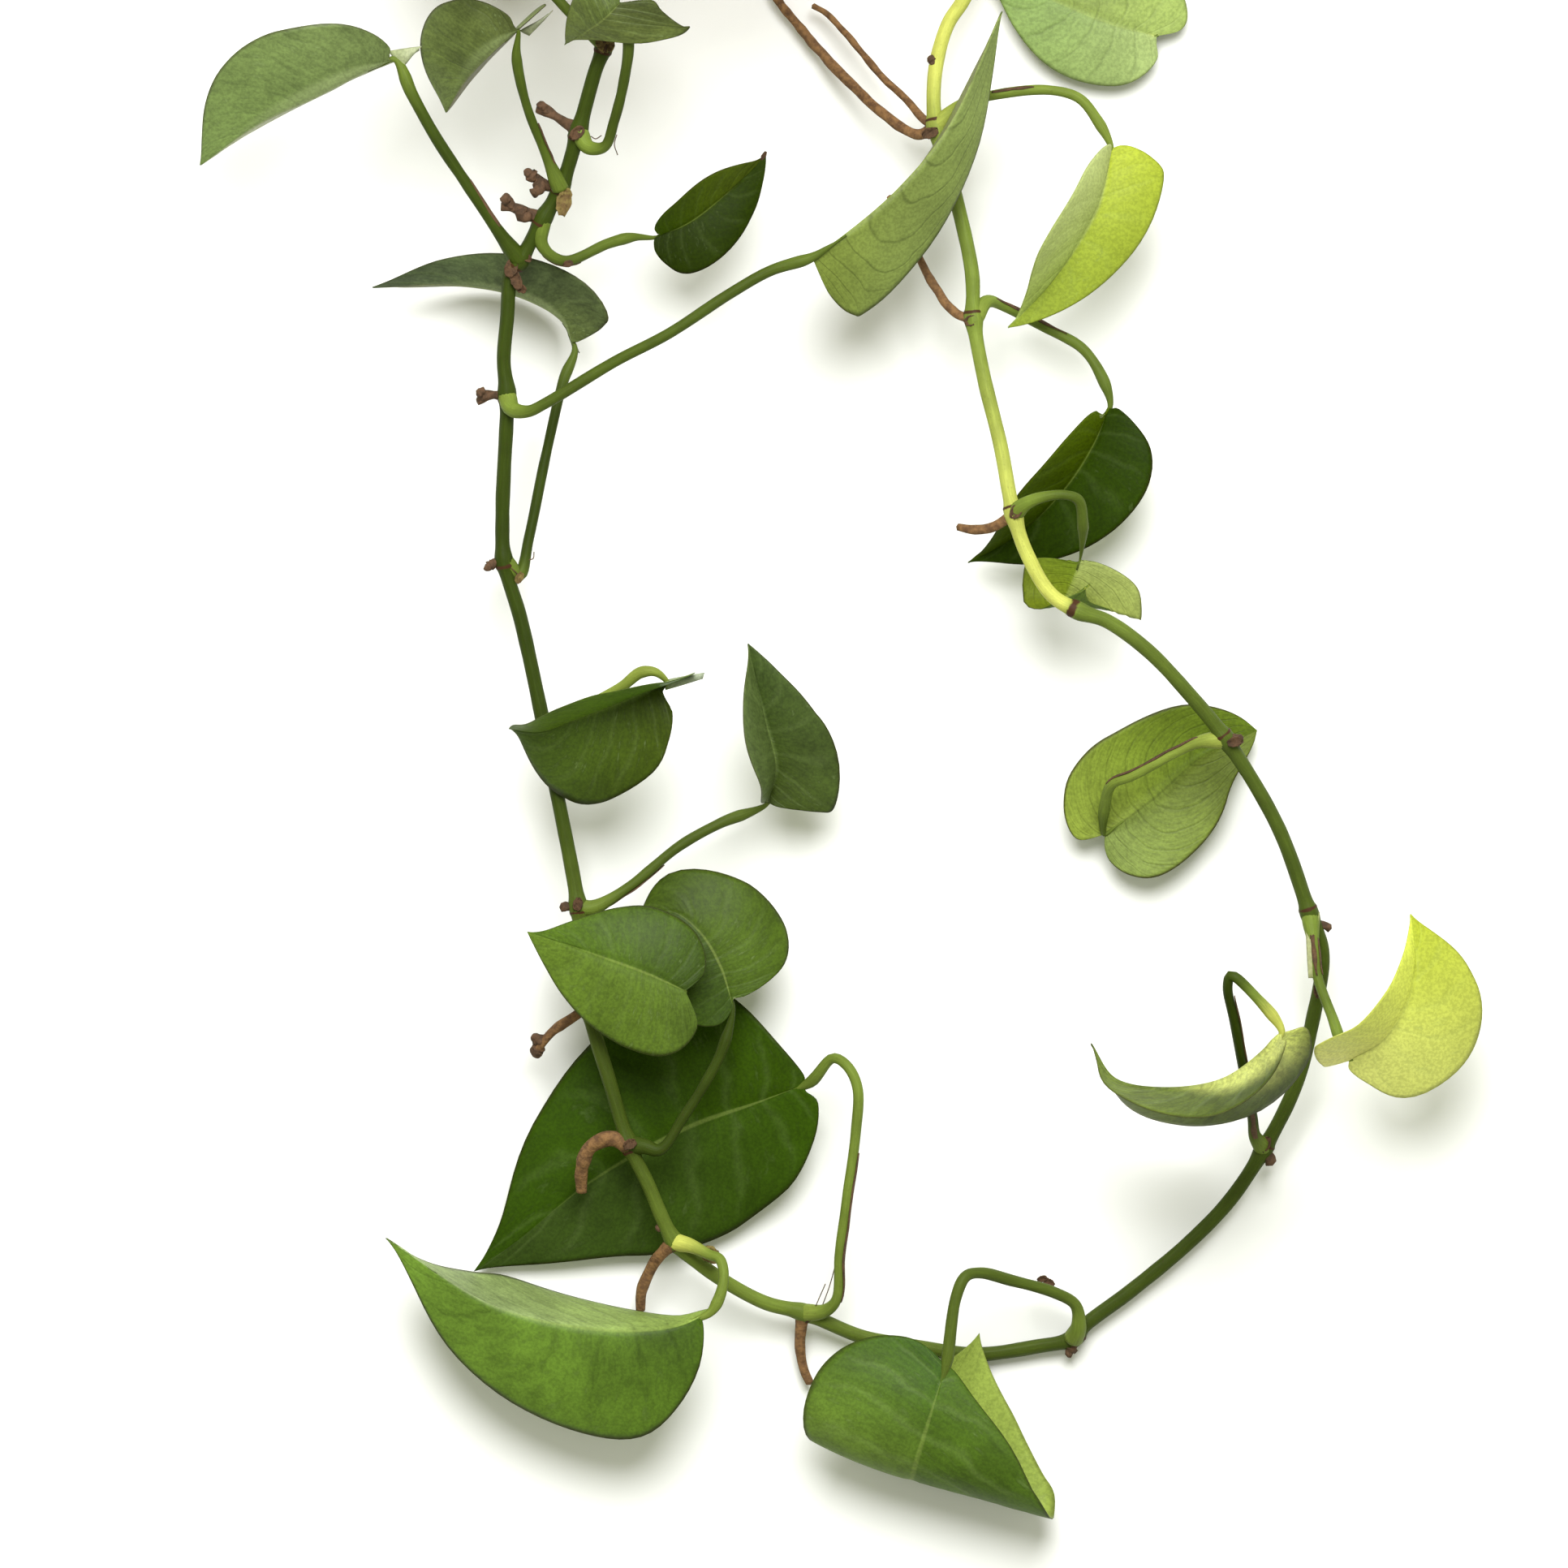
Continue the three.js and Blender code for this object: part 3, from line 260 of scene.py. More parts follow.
     [(68.5, 268, 12), (86, 266, 5), (103.5, 256.5, 2.5), (111, 244, 3)],
     [(114.5, 230, 7), (101, 233.5, 9), (81, 241.5, 9), (62, 250, 6)],
     (20, 2, 0.36, 2, 2, -14), (24, 8, 0.36, 2, 2, -14)),
    ("leaf_24", "lime",
     [(77, 303.5, 8), (83, 306, 13), (94.5, 312.5, 19)],
     [(102.5, 319, 21), (115.5, 326, 22), (126.5, 330.5, 18), (138, 333.5, 11)],
     (17, 4, 0.34, 16, 16, -20), (17, 4, 0.34, 16, 16, -20)),
    ("leaf_25", "lime",
     [(78, 337, 8), (77, 344, 12), (75.5, 350, 15)],
     [(75, 355, 17), (73.5, 364.5, 20), (72.5, 376, 21), (72, 387, 20)],
     (8, 0, 0.4, 62, 62, 0), (8, 0, 0.4, 62, 62, 0)),
)]

# The shoots in the pot: name, path, and for each leaf its height, azimuth, reach, rise and length
SHOOTS = [
    ("shoot_a", [(16, 6, 64), (17, 8, 110), (22, 14, 150), (20, 24, 186), (26, 34, 206)],
     [(128, -12, 34, 16, 74), (150, 128, 26, 22, 70), (178, 12, 26, 20, 66), (203, 70, 22, 16, 54)]),
    ("shoot_b", [(-20, 16, 64), (-21, 17, 110), (-28, 18, 140), (-34, 26, 166)],
     [(122, 214, 38, 14, 72), (142, 150, 34, 8, 66), (163, 190, 28, 26, 60)]),
]
CROWN_HALF_WIDTH_SHARE = 0.36
CROWN_LOBE_SHARE = 0.1
CROWN_WIDEST = 0.34
CROWN_FOLD_DEGREES = 14
CROWN_CURL_DEGREES = -30

# The joint with a brown ring and no leaf
BARE_JOINT = [90, 52.5, 45]


def srgb(red, green, blue):
    """A colour given by its eight-bit screen values, as linear light."""
    def linear(value):
        value /= 255
        return value / 12.92 if value <= 0.04045 else ((value + 0.055) / 1.055) ** 2.4
    return (linear(red), linear(green), linear(blue), 1.0)


# Curves

def curve_through(points, steps):
    """A centripetal Catmull-Rom curve through the points, cut into even steps, and its length."""
    points = np.asarray(points, float)
    spans = len(points) - 1
    padded = np.vstack([2 * points[0] - points[1], points, 2 * points[-1] - points[-2]])
    dense = []
    for place in np.linspace(0, spans, max(400, steps * 2) + 1):
        span = min(int(place), spans - 1)
        share = place - span
        before, start, end, after = padded[span:span + 4]
        gaps = [math.sqrt(np.linalg.norm(b - a)) for a, b in ((before, start), (start, end), (end, after))]
        first, middle, last = gaps[0] or gaps[1], gaps[1], gaps[2] or gaps[1]
        leave = (start - before) / first - (end - before) / (first + middle) + (end - start) / middle
        arrive = (end - start) / middle - (after - start) / (middle + last) + (after - end) / last
        leave, arrive = leave * middle, arrive * middle
        dense.append((2 * start - 2 * end + leave + arrive) * share ** 3
                     + (-3 * start + 3 * end - 2 * leave - arrive) * share ** 2 + leave * share + start)
    dense = np.array(dense)
    run = np.r_[0, np.cumsum(np.linalg.norm(np.diff(dense, axis=0), axis=1))]
    return between(dense, run, np.linspace(0, run[-1], steps + 1)), run[-1]


def between(places, stations, at):
    """Places read off between those known at the stations."""
    return np.stack([np.interp(at, stations, places[:, axis]) for axis in range(3)], -1)


def unit(vectors):
    return vectors / np.maximum(np.linalg.norm(vectors, axis=-1, keepdims=True), 1e-12)


def level(degrees):
    """A level direction, counted from the row's x."""
    return np.array([math.cos(math.radians(degrees)), math.sin(math.radians(degrees)), 0])


def hill(run, top, reach):
    """A smooth rise to 1 about the top, with most of its fall within the reach."""
    return np.exp(-((run - top) / reach) ** 2)


def carried_frames(places, first_side):
    """Directions along a path, and a sideways and an upward one carried along without twisting."""
    along = unit(np.gradient(places, axis=0))
    side = np.zeros_like(places)
    side[0] = unit(first_side - along[0] * (first_side @ along[0]))
    for step in range(1, len(places)):
        side[step] = unit(side[step - 1] - along[step] * (side[step - 1] @ along[step]))
    return along, side, np.cross(along, side)


def scattered(count, seed, every=5):
    """Slow random ups and downs along a run of stations, about -1 to 1."""
    own = np.random.default_rng(seed)
    knots = own.uniform(-1, 1, max(3, count // every))
    return np.interp(np.linspace(0, len(knots) - 1, count), np.arange(len(knots)), knots)


def round_turns(sides):
    return np.arange(sides) / sides * math.tau


# Meshes

# Roughly where a tube's first side faces: no path starts out that way.
TUBE_FIRST_SIDE = np.array([0.31, 0.95, 0.02])


def make_piece(name, points, faces, slot, stands_for, materials, uvs=None, marks=None, material_ids=None):
    """A piece in the row's frame from points in millimetres. Marks are values kept at each point."""
    mesh = bpy.data.meshes.new(name)
    mesh.from_pydata((np.asarray(points) * MM).tolist(), [], faces)
    mesh.update()
    mesh.polygons.foreach_set("use_smooth", [True] * len(mesh.polygons))
    if uvs is not None:
        layer = mesh.uv_layers.new(name="UVMap")
        corners = np.zeros(len(mesh.loops), int)
        mesh.loops.foreach_get("vertex_index", corners)
        layer.data.foreach_set("uv", np.asarray(uvs, float)[corners].ravel())
    for mark, values in (marks or {}).items():
        mesh.attributes.new(mark, "FLOAT", "POINT").data.foreach_set("value", np.asarray(values, float))
    for material in materials:
        mesh.materials.append(material)
    if material_ids is not None:
        mesh.polygons.foreach_set("material_index", material_ids)
    piece = bpy.data.objects.new(name, mesh)
    bpy.context.scene.collection.objects.link(piece)
    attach(piece, "root")
    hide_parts(stands_for)


def gather(parts):
    """Several (points, faces, uvs, marks) in one set of lists."""
    points, faces, uvs, marks, start = [], [], [], {}, 0
    for part_points, part_faces, part_uvs, part_marks in parts:
        points.append(part_points)
        faces.extend([tuple(corner + start for corner in face) for face in part_faces])
        uvs.append(part_uvs)
        for mark, values in part_marks.items():
            marks.setdefault(mark, []).append(values)
        start += len(part_points)
    return np.vstack(points), faces, np.vstack(uvs), {mark: np.concatenate(v) for mark, v in marks.items()}


def vine_piece(name, parts, material):
    """A piece of the vine's own stem."""
    points, faces, uvs, marks = gather(parts)
    make_piece(name, points + VINE_CENTRE, faces, "vine_stem", "vine_stem", [material], uvs, marks)


def round_faces(rings, sides, first, last):
    """Faces of a closed round body: between its rings of points, and from its end rings to the
    points first and last."""
    faces = []
    for ring in range(rings - 1):
        for turn in range(sides):
            a, b = ring * sides + turn, ring * sides + (turn + 1) % sides
            faces.append((a, b, b + sides, a + sides))
    end = (rings - 1) * sides
    for turn in range(sides):
        after = (turn + 1) % sides
        faces.append((first, after, turn))
        faces.append((last, end + turn, end + after))
    return faces


def sheet_faces(rows, columns, pointed=False):
    """Faces of a thin closed sheet: an upper and a lower layer by turns, and then the wall round
    them. A pointed sheet's first and last row each lie in one place."""
    count = rows * columns
    faces = []
    for row in range(rows - 1):
        for column in range(columns - 1):
            a = row * columns + column
            face = (a, a + columns, a + columns + 1, a + 1)
            if pointed and row == 0:
                face = face[:3]
            elif pointed and row == rows - 2:
                face = (face[0], face[1], face[3])
            faces.append(face)
            faces.append(tuple(corner + count for corner in reversed(face)))
    first_row = [0] if pointed else list(range(columns))
    last_row = [count - columns] if pointed else list(range(count - 1, count - columns - 1, -1))
    loop = (first_row + [row * columns + columns - 1 for row in range(1, rows - 1)]
            + last_row + [row * columns for row in range(rows - 2, 0, -1)])
    for a, b in zip(loop, loop[1:] + loop[:1]):
        faces.append((a, b, b + count, a + count))
    return faces


def tube(path, radii, sides):
    """A round tube along a path, drawn to a point at each end. radii holds a row for each station,
    with one radius or one for each side. Returns points, faces and (share along, share round)."""
    along, side, up = carried_frames(path, TUBE_FIRST_SIDE)
    turns = round_turns(sides)
    radii = np.broadcast_to(np.asarray(radii, float).reshape(len(path), -1), (len(path), sides))
    ring = (path[:, None] + side[:, None] * (np.cos(turns) * radii)[..., None]
            + up[:, None] * (np.sin(turns) * radii)[..., None])
    points = np.vstack([ring.reshape(-1, 3), path[:1] - along[:1] * radii[0, 0] * 0.5,
                        path[-1:] + along[-1:] * radii[-1, 0] * 0.5])
    faces = round_faces(len(path), sides, len(points) - 2, len(points) - 1)
    shares = np.repeat(np.linspace(0, 1, len(path)), sides)
    uvs = np.stack([np.r_[shares, 0, 1], np.r_[np.tile(np.arange(sides) / sides, len(path)), 0, 0]], 1)
    return points, faces, uvs


def grid_normals(grid):
    normals = np.cross(np.gradient(grid, axis=0), np.gradient(grid, axis=1))
    normals[0] = normals[1]
    normals[-1] = normals[-2]
    return unit(normals)


# Blades

def outline_curve(half, length):
    """The half blade's margin as (along the rib, outward) in millimetres, from the notch to the tip."""
    width, lobe, widest = half[:3]
    shoulder, taper = half[6:8] if len(half) > 6 else (1, 1)
    widest_at = widest * length
    points = [(0, 0)]
    for part, share, out in HALF_OUTLINE:
        if part == 0:
            points.append((-lobe + (widest_at + lobe) * share, out ** shoulder * width))
        else:
            points.append((widest_at + (length - widest_at) * share, out ** taper * width))
    points.append((length, 0))
    return points


def margin_at(outline, rows):
    """The outline's curve at even shares of its points, so that each row ends at its own place."""
    padded = np.array([outline[0], *outline, outline[-1]], float)
    margin = []
    for place in np.linspace(0, len(outline) - 1, rows + 1):
        span = min(int(place), len(outline) - 2)
        share = place - span
        before, start, end, after = padded[span:span + 4]
        margin.append(0.5 * (2 * start + (end - before) * share
                             + (2 * before - 5 * start + 4 * end - after) * share ** 2
                             + (3 * start - before - 3 * end + after) * share ** 3))
    return np.array(margin)


def rib_frames(points):
    places, length = curve_through(points, RIB_STATIONS)
    along = unit(np.gradient(places, axis=0))
    across = unit(np.cross([0, 0, 1], along[0]))
    along, across, up = carried_frames(places, across)
    return {"places": places, "along": along, "across": across, "up": up, "length": length}


def on_half(ribs, half, sign, along_rib, outward):
    """Places on a half blade, which tilts and curls about the rib as its numbers say."""
    share = np.clip(along_rib / ribs["length"], 0, 1)

    def at(key):
        return between(ribs[key], np.arange(RIB_STATIONS + 1), share * RIB_STATIONS)
    width, tilt_base, tilt_tip, curl = half[0], *half[3:6]
    angle = np.radians(tilt_base + (tilt_tip - tilt_base) * share + curl * outward / (2 * width))
    return (at("places") + at("along") * np.minimum(along_rib, 0)[..., None]
            + at("across") * (sign * outward * np.cos(angle))[..., None]
            + at("up") * (outward * np.sin(angle))[..., None])


def blade_grid(leaf):
    """The blade's middle surface: rows from the base to the tip, columns from right to left margin."""
    ribs = rib_frames(leaf["rib"])
    rib_at = ribs["length"] * np.linspace(0, 1, BLADE_ROWS + 1) ** RIB_CREEP
    shares = np.linspace(0, 1, BLADE_COLUMNS + 1)
    halves = []
    for half, sign in ((leaf["right"], -1), (leaf["left"], 1)):
        margin = margin_at(outline_curve(half, ribs["length"]), BLADE_ROWS)
        along_rib = rib_at[:, None] * (1 - shares) + margin[:, :1] * shares
        halves.append(on_half(ribs, half, sign, along_rib, margin[:, 1:] * shares))
    return np.concatenate([halves[0][:, ::-1], halves[1][:, 1:]], 1), ribs


def blade_part(leaf, seed):
    """The blade as a thin closed skin, with a sunk midrib, a light quilting between the side veins
    and a soft wave along its margin. Returns points, faces, uvs, material numbers and the rib."""
    grid, ribs = blade_grid(leaf)
    rows, columns = grid.shape[:2]
    share = np.linspace(0, 1, rows)[:, None]
    out = np.linspace(-1, 1, columns)[None, :]
    normals = grid_normals(grid)
    fade = np.clip(np.minimum(share, 1 - share) * 6, 0, 1)
    vein = np.cos(math.tau * SIDE_VEINS * (share - VEIN_SWEEP * out ** 2))
    wave = np.sin(math.tau * (share * WAVES_PER_BLADE + seed * 0.37) + np.sign(out) * 0.9) * out ** 4
    relief = fade * (QUILT_DEPTH * vein * np.abs(out) * (1 - out ** 2) + MARGIN_WAVE * wave)
    relief = relief - fade * MIDRIB_DEPTH * hill(out, 0, MIDRIB_WIDTH)
    flip = -1 if leaf.get("face_down") else 1
    middle = grid + normals * (relief * flip)[..., None]
    upper = BLADE_THICKNESS / 2 * (1 - MARGIN_THINNING * np.abs(out) ** 8) + np.zeros_like(share)
    lower = upper + RIDGE_HEIGHT * hill(out, 0, RIDGE_WIDTH) * (1 - share) ** 0.7 * fade
    if flip < 0:
        lower, upper = upper, lower
    points = np.vstack([(middle + normals * upper[..., None]).reshape(-1, 3),
                        (middle - normals * lower[..., None]).reshape(-1, 3)])
    faces = sheet_faces(rows, columns, pointed=True)
    cells = (rows - 1) * (columns - 1)
    ids = ([1, 0] if flip < 0 else [0, 1]) * cells + [0] * (len(faces) - 2 * cells)
    uv = np.stack(np.broadcast_arrays(share, out * 0.5 + 0.5), -1).reshape(-1, 2)
    return points, faces, np.vstack([uv, uv]), ids, ribs


# Materials

# How fine each mottling is, in repeats a metre
BLADE_CLOUD, BLADE_BLOTCH, BLADE_GRAIN = 45.0, 170.0, 1100.0
STALK_CLOUD, STALK_TORN, STALK_GRAIN = 70.0, 300.0, 1400.0
BARK_CLOUD, BARK_FLAKES = 90.0, 420.0
CLAY_CLOUD, CLAY_BLOOM, CLAY_PORES = 16.0, 38.0, 1300.0
EARTH_PATCHES, EARTH_CRUMBS = 60.0, 380.0

# Streaks on a blade: how many along it and across it. Lines on stalks, wrinkles on bark: along, round
STREAKS_ALONG, STREAKS_ACROSS = 62.0, 13.0
STALK_LINES = (9.0, 26.0, 1.0)
BARK_WRINKLES = (34.0, 5.0, 1.0)
THROWING_LINES = (6.0, 6.0, 260.0)

# Side veins: how sharp a pale and a dark one is, and how their sweep grows towards the margin
PALE_VEIN_SHARPNESS, DARK_VEIN_SHARPNESS = 9.0, 45.0
SWEEP_GROWTH = 1.6

# The third of these tones is a painted sheen: the pale strip along a folded midrib.
PALE_VEIN, PALE_FLECK, PAINTED_SHEEN = srgb(150, 172, 105), srgb(150, 172, 110), srgb(150, 165, 112)
PALE_RIB, DRY_MARGIN = srgb(176, 192, 104), srgb(50, 40, 28)
BARK_DUST = srgb(150, 118, 84)


class Value:
    """What a node in a material gives. Each step taken from it makes a node of its own."""

    def __init__(self, sheet, socket):
        self.sheet = sheet
        self.socket = socket

    def __mul__(self, other):
        return self.sheet.joined("Math", "MULTIPLY", self, other)

    def __add__(self, other):
        return self.sheet.joined("Math", "ADD", self, other)

    def __sub__(self, other):
        return self.sheet.joined("Math", "SUBTRACT", self, other)

    def __pow__(self, other):
        return self.sheet.joined("Math", "POWER", self, other)

    def output(self, key):
        """Another output of the same node."""
        return Value(self.sheet, self.socket.node.outputs[key])

    def band(self, low, high):
        """0 below low, 1 above high, and smooth between them."""
        return self.sheet.step("MapRange", {"interpolation_type": "SMOOTHSTEP"},
                               {"Value": self, "From Min": low, "From Max": high})

    def scaled(self, scale):
        return self.sheet.joined("VectorMath", "MULTIPLY", self, scale)

    def toned(self, share):
        return self.scaled((share, share, share))

    def towards(self, tone, share):
        """The colour, blended with that share of the tone."""
        return self.sheet.blend(share, self, tone)


class Sheet:
    """A material and its node tree."""

    def __init__(self, name, gloss=None):
        self.material = bpy.data.materials.new(name)
        self.material.use_nodes = True
        self.tree = self.material.node_tree
        self.shader = self.tree.nodes["Principled BSDF"]
        if gloss is not None:
            self.shader.inputs["Specular IOR Level"].default_value = gloss

    def feed(self, socket, value):
        if isinstance(value, Value):
            self.tree.links.new(value.socket, socket)
        else:
            socket.default_value = value

    def step(self, kind, settings, inputs, output=0):
        """What a new node gives, with its inputs and its output by name or number."""
        node = self.tree.nodes.new("ShaderNode" + kind)
        for key, value in settings.items():
            setattr(node, key, value)
        for key, value in inputs.items():
            self.feed(node.inputs[key], value)
        return Value(self, node.outputs[output])

    def joined(self, kind, operation, first, second):
        return self.step(kind, {"operation": operation}, {0: first, 1: second})

    def ripple(self, turn):
        """0 and 1 by turns, as the cosine goes."""
        cosine = self.joined("Math", "COSINE", turn, 0.0)
        return self.joined("Math", "SUBTRACT", 1.0, cosine) * 0.5

    def blend(self, share, first, second):
        return self.step("Mix", {"data_type": "RGBA"}, {0: share, 6: first, 7: second}, 2)

    def noise(self, vector, scale, detail=3.0, roughness=0.55):
        return self.step("TexNoise", {}, {"Vector": vector, "Scale": scale, "Detail": detail,
                                          "Roughness": roughness})

    def place(self):
        """The place on the piece, in metres in the row's frame."""
        return self.step("TexCoord", {}, {}, "Object")

    def spread(self):
        """The place on the piece's skin: share along it, and share across or round."""
        return self.step("UVMap", {"uv_map": "UVMap"}, {})

    def mark(self, name):
        return self.step("Attribute", {"attribute_name": name}, {}, "Fac")

    def finish(self, colour, roughness, height=None, depth=None, strength=None):
        self.feed(self.shader.inputs["Base Color"], colour)
        self.feed(self.shader.inputs["Roughness"], roughness)
        if height is not None:
            relief = {"Height": height, "Distance": depth, "Strength": strength}
            self.feed(self.shader.inputs["Normal"], self.step("Bump", {}, relief))
        return self.material


def blade_material(name, left, right, veins=-0.2, mottle=0.14, flecks=0.15, rib=0.3, band=0.0, sheen=0.12,
                   foot=None, foot_reach=0.25, edge=0.5, swept=VEIN_SWEEP, seed=0.0):
    """A waxy blade. left and right are its halves' tones, near the petiole and at the tip. Side veins
    run from the midrib to the margin: paler than the blade above 0, darker below. band is how strongly
    a painted sheen, a pale strip, follows the midrib where the blade folds, foot a tone of its own near
    the petiole, edge the dark margin."""
    sheet = Sheet(name, sheen)
    along = sheet.step("SeparateXYZ", {}, {0: sheet.spread()})
    across = along.output(1)
    out = sheet.joined("Math", "ABSOLUTE", (across - 0.5) * 2.0, 0.0)
    place = sheet.joined("VectorMath", "ADD", sheet.place(), (seed, seed * 0.7, 0.0))
    cloud = sheet.noise(place, BLADE_CLOUD, 3.0)
    blotch = sheet.noise(place, BLADE_BLOTCH, 4.0, 0.62)
    grain = sheet.noise(place, BLADE_GRAIN, 2.0)

    # Side veins, fine ones between them, and streaks that run with them
    sweep = along - out ** SWEEP_GROWTH * swept
    turn = (sweep + (cloud - 0.5) * 0.12) * (SIDE_VEINS * math.tau)
    vein = sheet.ripple(turn) ** (PALE_VEIN_SHARPNESS if veins > 0 else DARK_VEIN_SHARPNESS)
    fine = sheet.ripple(turn * 4.0) ** 3.0
    shown = out.band(1.0, 0.7) * blotch.band(0.2, 0.5)
    midrib = out.band(0.026, 0.007) * along.band(1.0, 0.55)
    streak_place = {0: sweep * STREAKS_ALONG, 1: across * STREAKS_ACROSS, 2: seed}
    streaks = sheet.noise(sheet.step("CombineXYZ", {}, streak_place), 1.0, 4.0, 0.6)
    fleck = streaks.band(0.56, 0.74) * cloud.band(0.42, 0.62)

    reach = along.band(0.05, 0.95)
    colour = sheet.blend(across.band(0.47, 0.53), sheet.blend(reach, *right), sheet.blend(reach, *left))
    if foot:
        slanted = along + out * 0.4
        colour = colour.towards(foot, slanted.band(foot_reach + 0.13, foot_reach - 0.13))
    colour = sheet.blend(cloud.band(0.3, 0.7), colour.toned(1 - mottle), colour.toned(1 + mottle))
    colour = colour.towards(colour.toned(1 - mottle * 1.2), streaks.band(0.4, 0.66))
    colour = colour.towards(colour.towards(PALE_FLECK, 0.5), fleck * flecks)
    vein_tone = colour.towards(PALE_VEIN, 0.4) if veins > 0 else colour.toned(0.55)
    colour = colour.towards(vein_tone, vein * shown * abs(veins))
    # Painted sheen: a pale strip along the midrib where the blade folds over.
    if band:
        strip = out.band(0.24, 0.1) * along.band(1.0, 0.4)
        colour = colour.towards(colour.towards(PAINTED_SHEEN, 0.6), strip * band)
    rib_tone = colour.towards(PALE_RIB, 0.5) if rib > 0 else colour.toned(0.5)
    colour = colour.towards(rib_tone, midrib * abs(rib))
    colour = colour.towards(DRY_MARGIN, out.band(0.955, 0.995) * edge)
    colour = sheet.blend(grain.band(0.38, 0.62), colour.toned(0.82), colour)
    height = grain * 0.25 + (vein * -0.5 + fine * 0.12)
    return sheet.finish(colour, cloud * 0.2 + 0.4, height, 0.00025, 0.5)


def stalk_material(name, young, middle, old, bark):
    """Stem and petioles: smooth green skin with fine lengthwise lines, brown where it is ringed."""
    sheet = Sheet(name, 0.1)
    place = sheet.place()
    cloud = sheet.noise(place, STALK_CLOUD, 4.0)
    grain = sheet.noise(place, STALK_GRAIN, 2.0)
    lines = sheet.noise(sheet.spread().scaled(STALK_LINES), 1.0, 3.0, 0.6)
    # The youth mark is the skin's age; along the vine it also holds painted shade.
    youth = sheet.mark("youth")
    skin = sheet.blend(youth.band(0.0, 0.3), old, middle).towards(young, youth.band(0.3, 1.0))
    skin = sheet.blend(cloud.band(0.32, 0.7), skin.toned(0.78), skin)
    skin = skin.towards(skin.toned(1.35), lines.band(0.46, 0.62) * 0.5)
    skin = skin.towards(bark, grain.band(0.6, 0.72) * 0.2)
    torn = (sheet.noise(place, STALK_TORN, 3.0) - 0.5) * 0.9
    colour = skin.towards(bark, (sheet.mark("ring") + torn).band(0.45, 0.7))
    return sheet.finish(colour, cloud * 0.2 + 0.42, lines * 0.6 + grain * 0.4, 0.0003, 0.6)


def bark_material(name, pale, deep):
    """Woody or papery skin: brown, wrinkled across and flaking."""
    sheet = Sheet(name, 0.25)
    place = sheet.place()
    flakes = sheet.noise(place, BARK_FLAKES, 5.0, 0.65)
    cloud = sheet.noise(place, BARK_CLOUD, 3.0)
    wrinkles = sheet.noise(sheet.spread().scaled(BARK_WRINKLES), 1.0, 4.0, 0.6)
    colour = sheet.blend(flakes.band(0.34, 0.66), deep, pale)
    colour = colour.towards(colour.scaled((0.6, 0.58, 0.55)), wrinkles.band(0.55, 0.7))
    colour = colour.towards(BARK_DUST, cloud * 0.3)
    return sheet.finish(colour, 0.78, flakes + wrinkles * 0.8, 0.0006, 0.8)


def clay_material():
    """Unglazed terracotta, with pale mineral bloom, darker damp cloud and fine pores."""
    sheet = Sheet("clay", 0.2)
    place = sheet.place()
    cloud = sheet.noise(place, CLAY_CLOUD, 5.0, 0.6)
    bloom = sheet.noise(place, CLAY_BLOOM, 6.0, 0.68)
    pores = sheet.noise(place, CLAY_PORES, 3.0, 0.6)
    throw = sheet.noise(place.scaled(THROWING_LINES), 1.0, 2.0)
    colour = sheet.blend(cloud.band(0.3, 0.7), srgb(168, 92, 62), srgb(196, 116, 80))
    colour = colour.towards(srgb(222, 186, 158), bloom.band(0.55, 0.72) * 0.45)
    colour = colour.towards(srgb(120, 62, 42), pores.band(0.56, 0.66) * 0.4)
    return sheet.finish(colour, bloom * 0.15 + 0.78, pores * 0.5 + throw, 0.0004, 0.7)


def earth_material():
    sheet = Sheet("earth", 0.15)
    place = sheet.place()
    crumbs = sheet.noise(place, EARTH_CRUMBS, 6.0, 0.7)
    patches = sheet.noise(place, EARTH_PATCHES, 4.0, 0.6)
    colour = sheet.blend(crumbs.band(0.35, 0.68), srgb(34, 25, 20), srgb(84, 64, 48))
    colour = colour.towards(colour.scaled((0.55, 0.55, 0.58)), patches.band(0.5, 0.75))
    return sheet.finish(colour, 0.95, crumbs, 0.001, 0.9)


# A level blade comes out this many times brighter than its own colour in the light below.
LIGHT_GAIN = 1.4


def tones(codes):
    """Colours as they look in the light, from their screen codes."""
    shades = []
    for code in codes.split():
        shade = srgb(*(int(code[place:place + 2], 16) for place in (0, 2, 4)))
        shades.append((*(value / LIGHT_GAIN for value in shade[:3]), 1.0))
    return shades


def look(left, right, hidden="8c9c5c 93a562", youth=0.1, foot_youth=0.2, top_youth=0.15, girth=1.05,
         worn=0.0, alike=False, **marks):
    """A leaf's look: the tones of its halves on the face that shows, each near the petiole and at the
    tip, those of its other face, unless both are alike, how young the petiole is along its run, at its
    foot and under the blade, how thick it is and how browned."""
    return {"left": tones(left), "right": tones(right), "hidden": tones(hidden), "youth": youth,
            "foot_youth": foot_youth, "top_youth": top_youth, "girth": girth, "worn": worn, "alike": alike,
            "marks": marks}
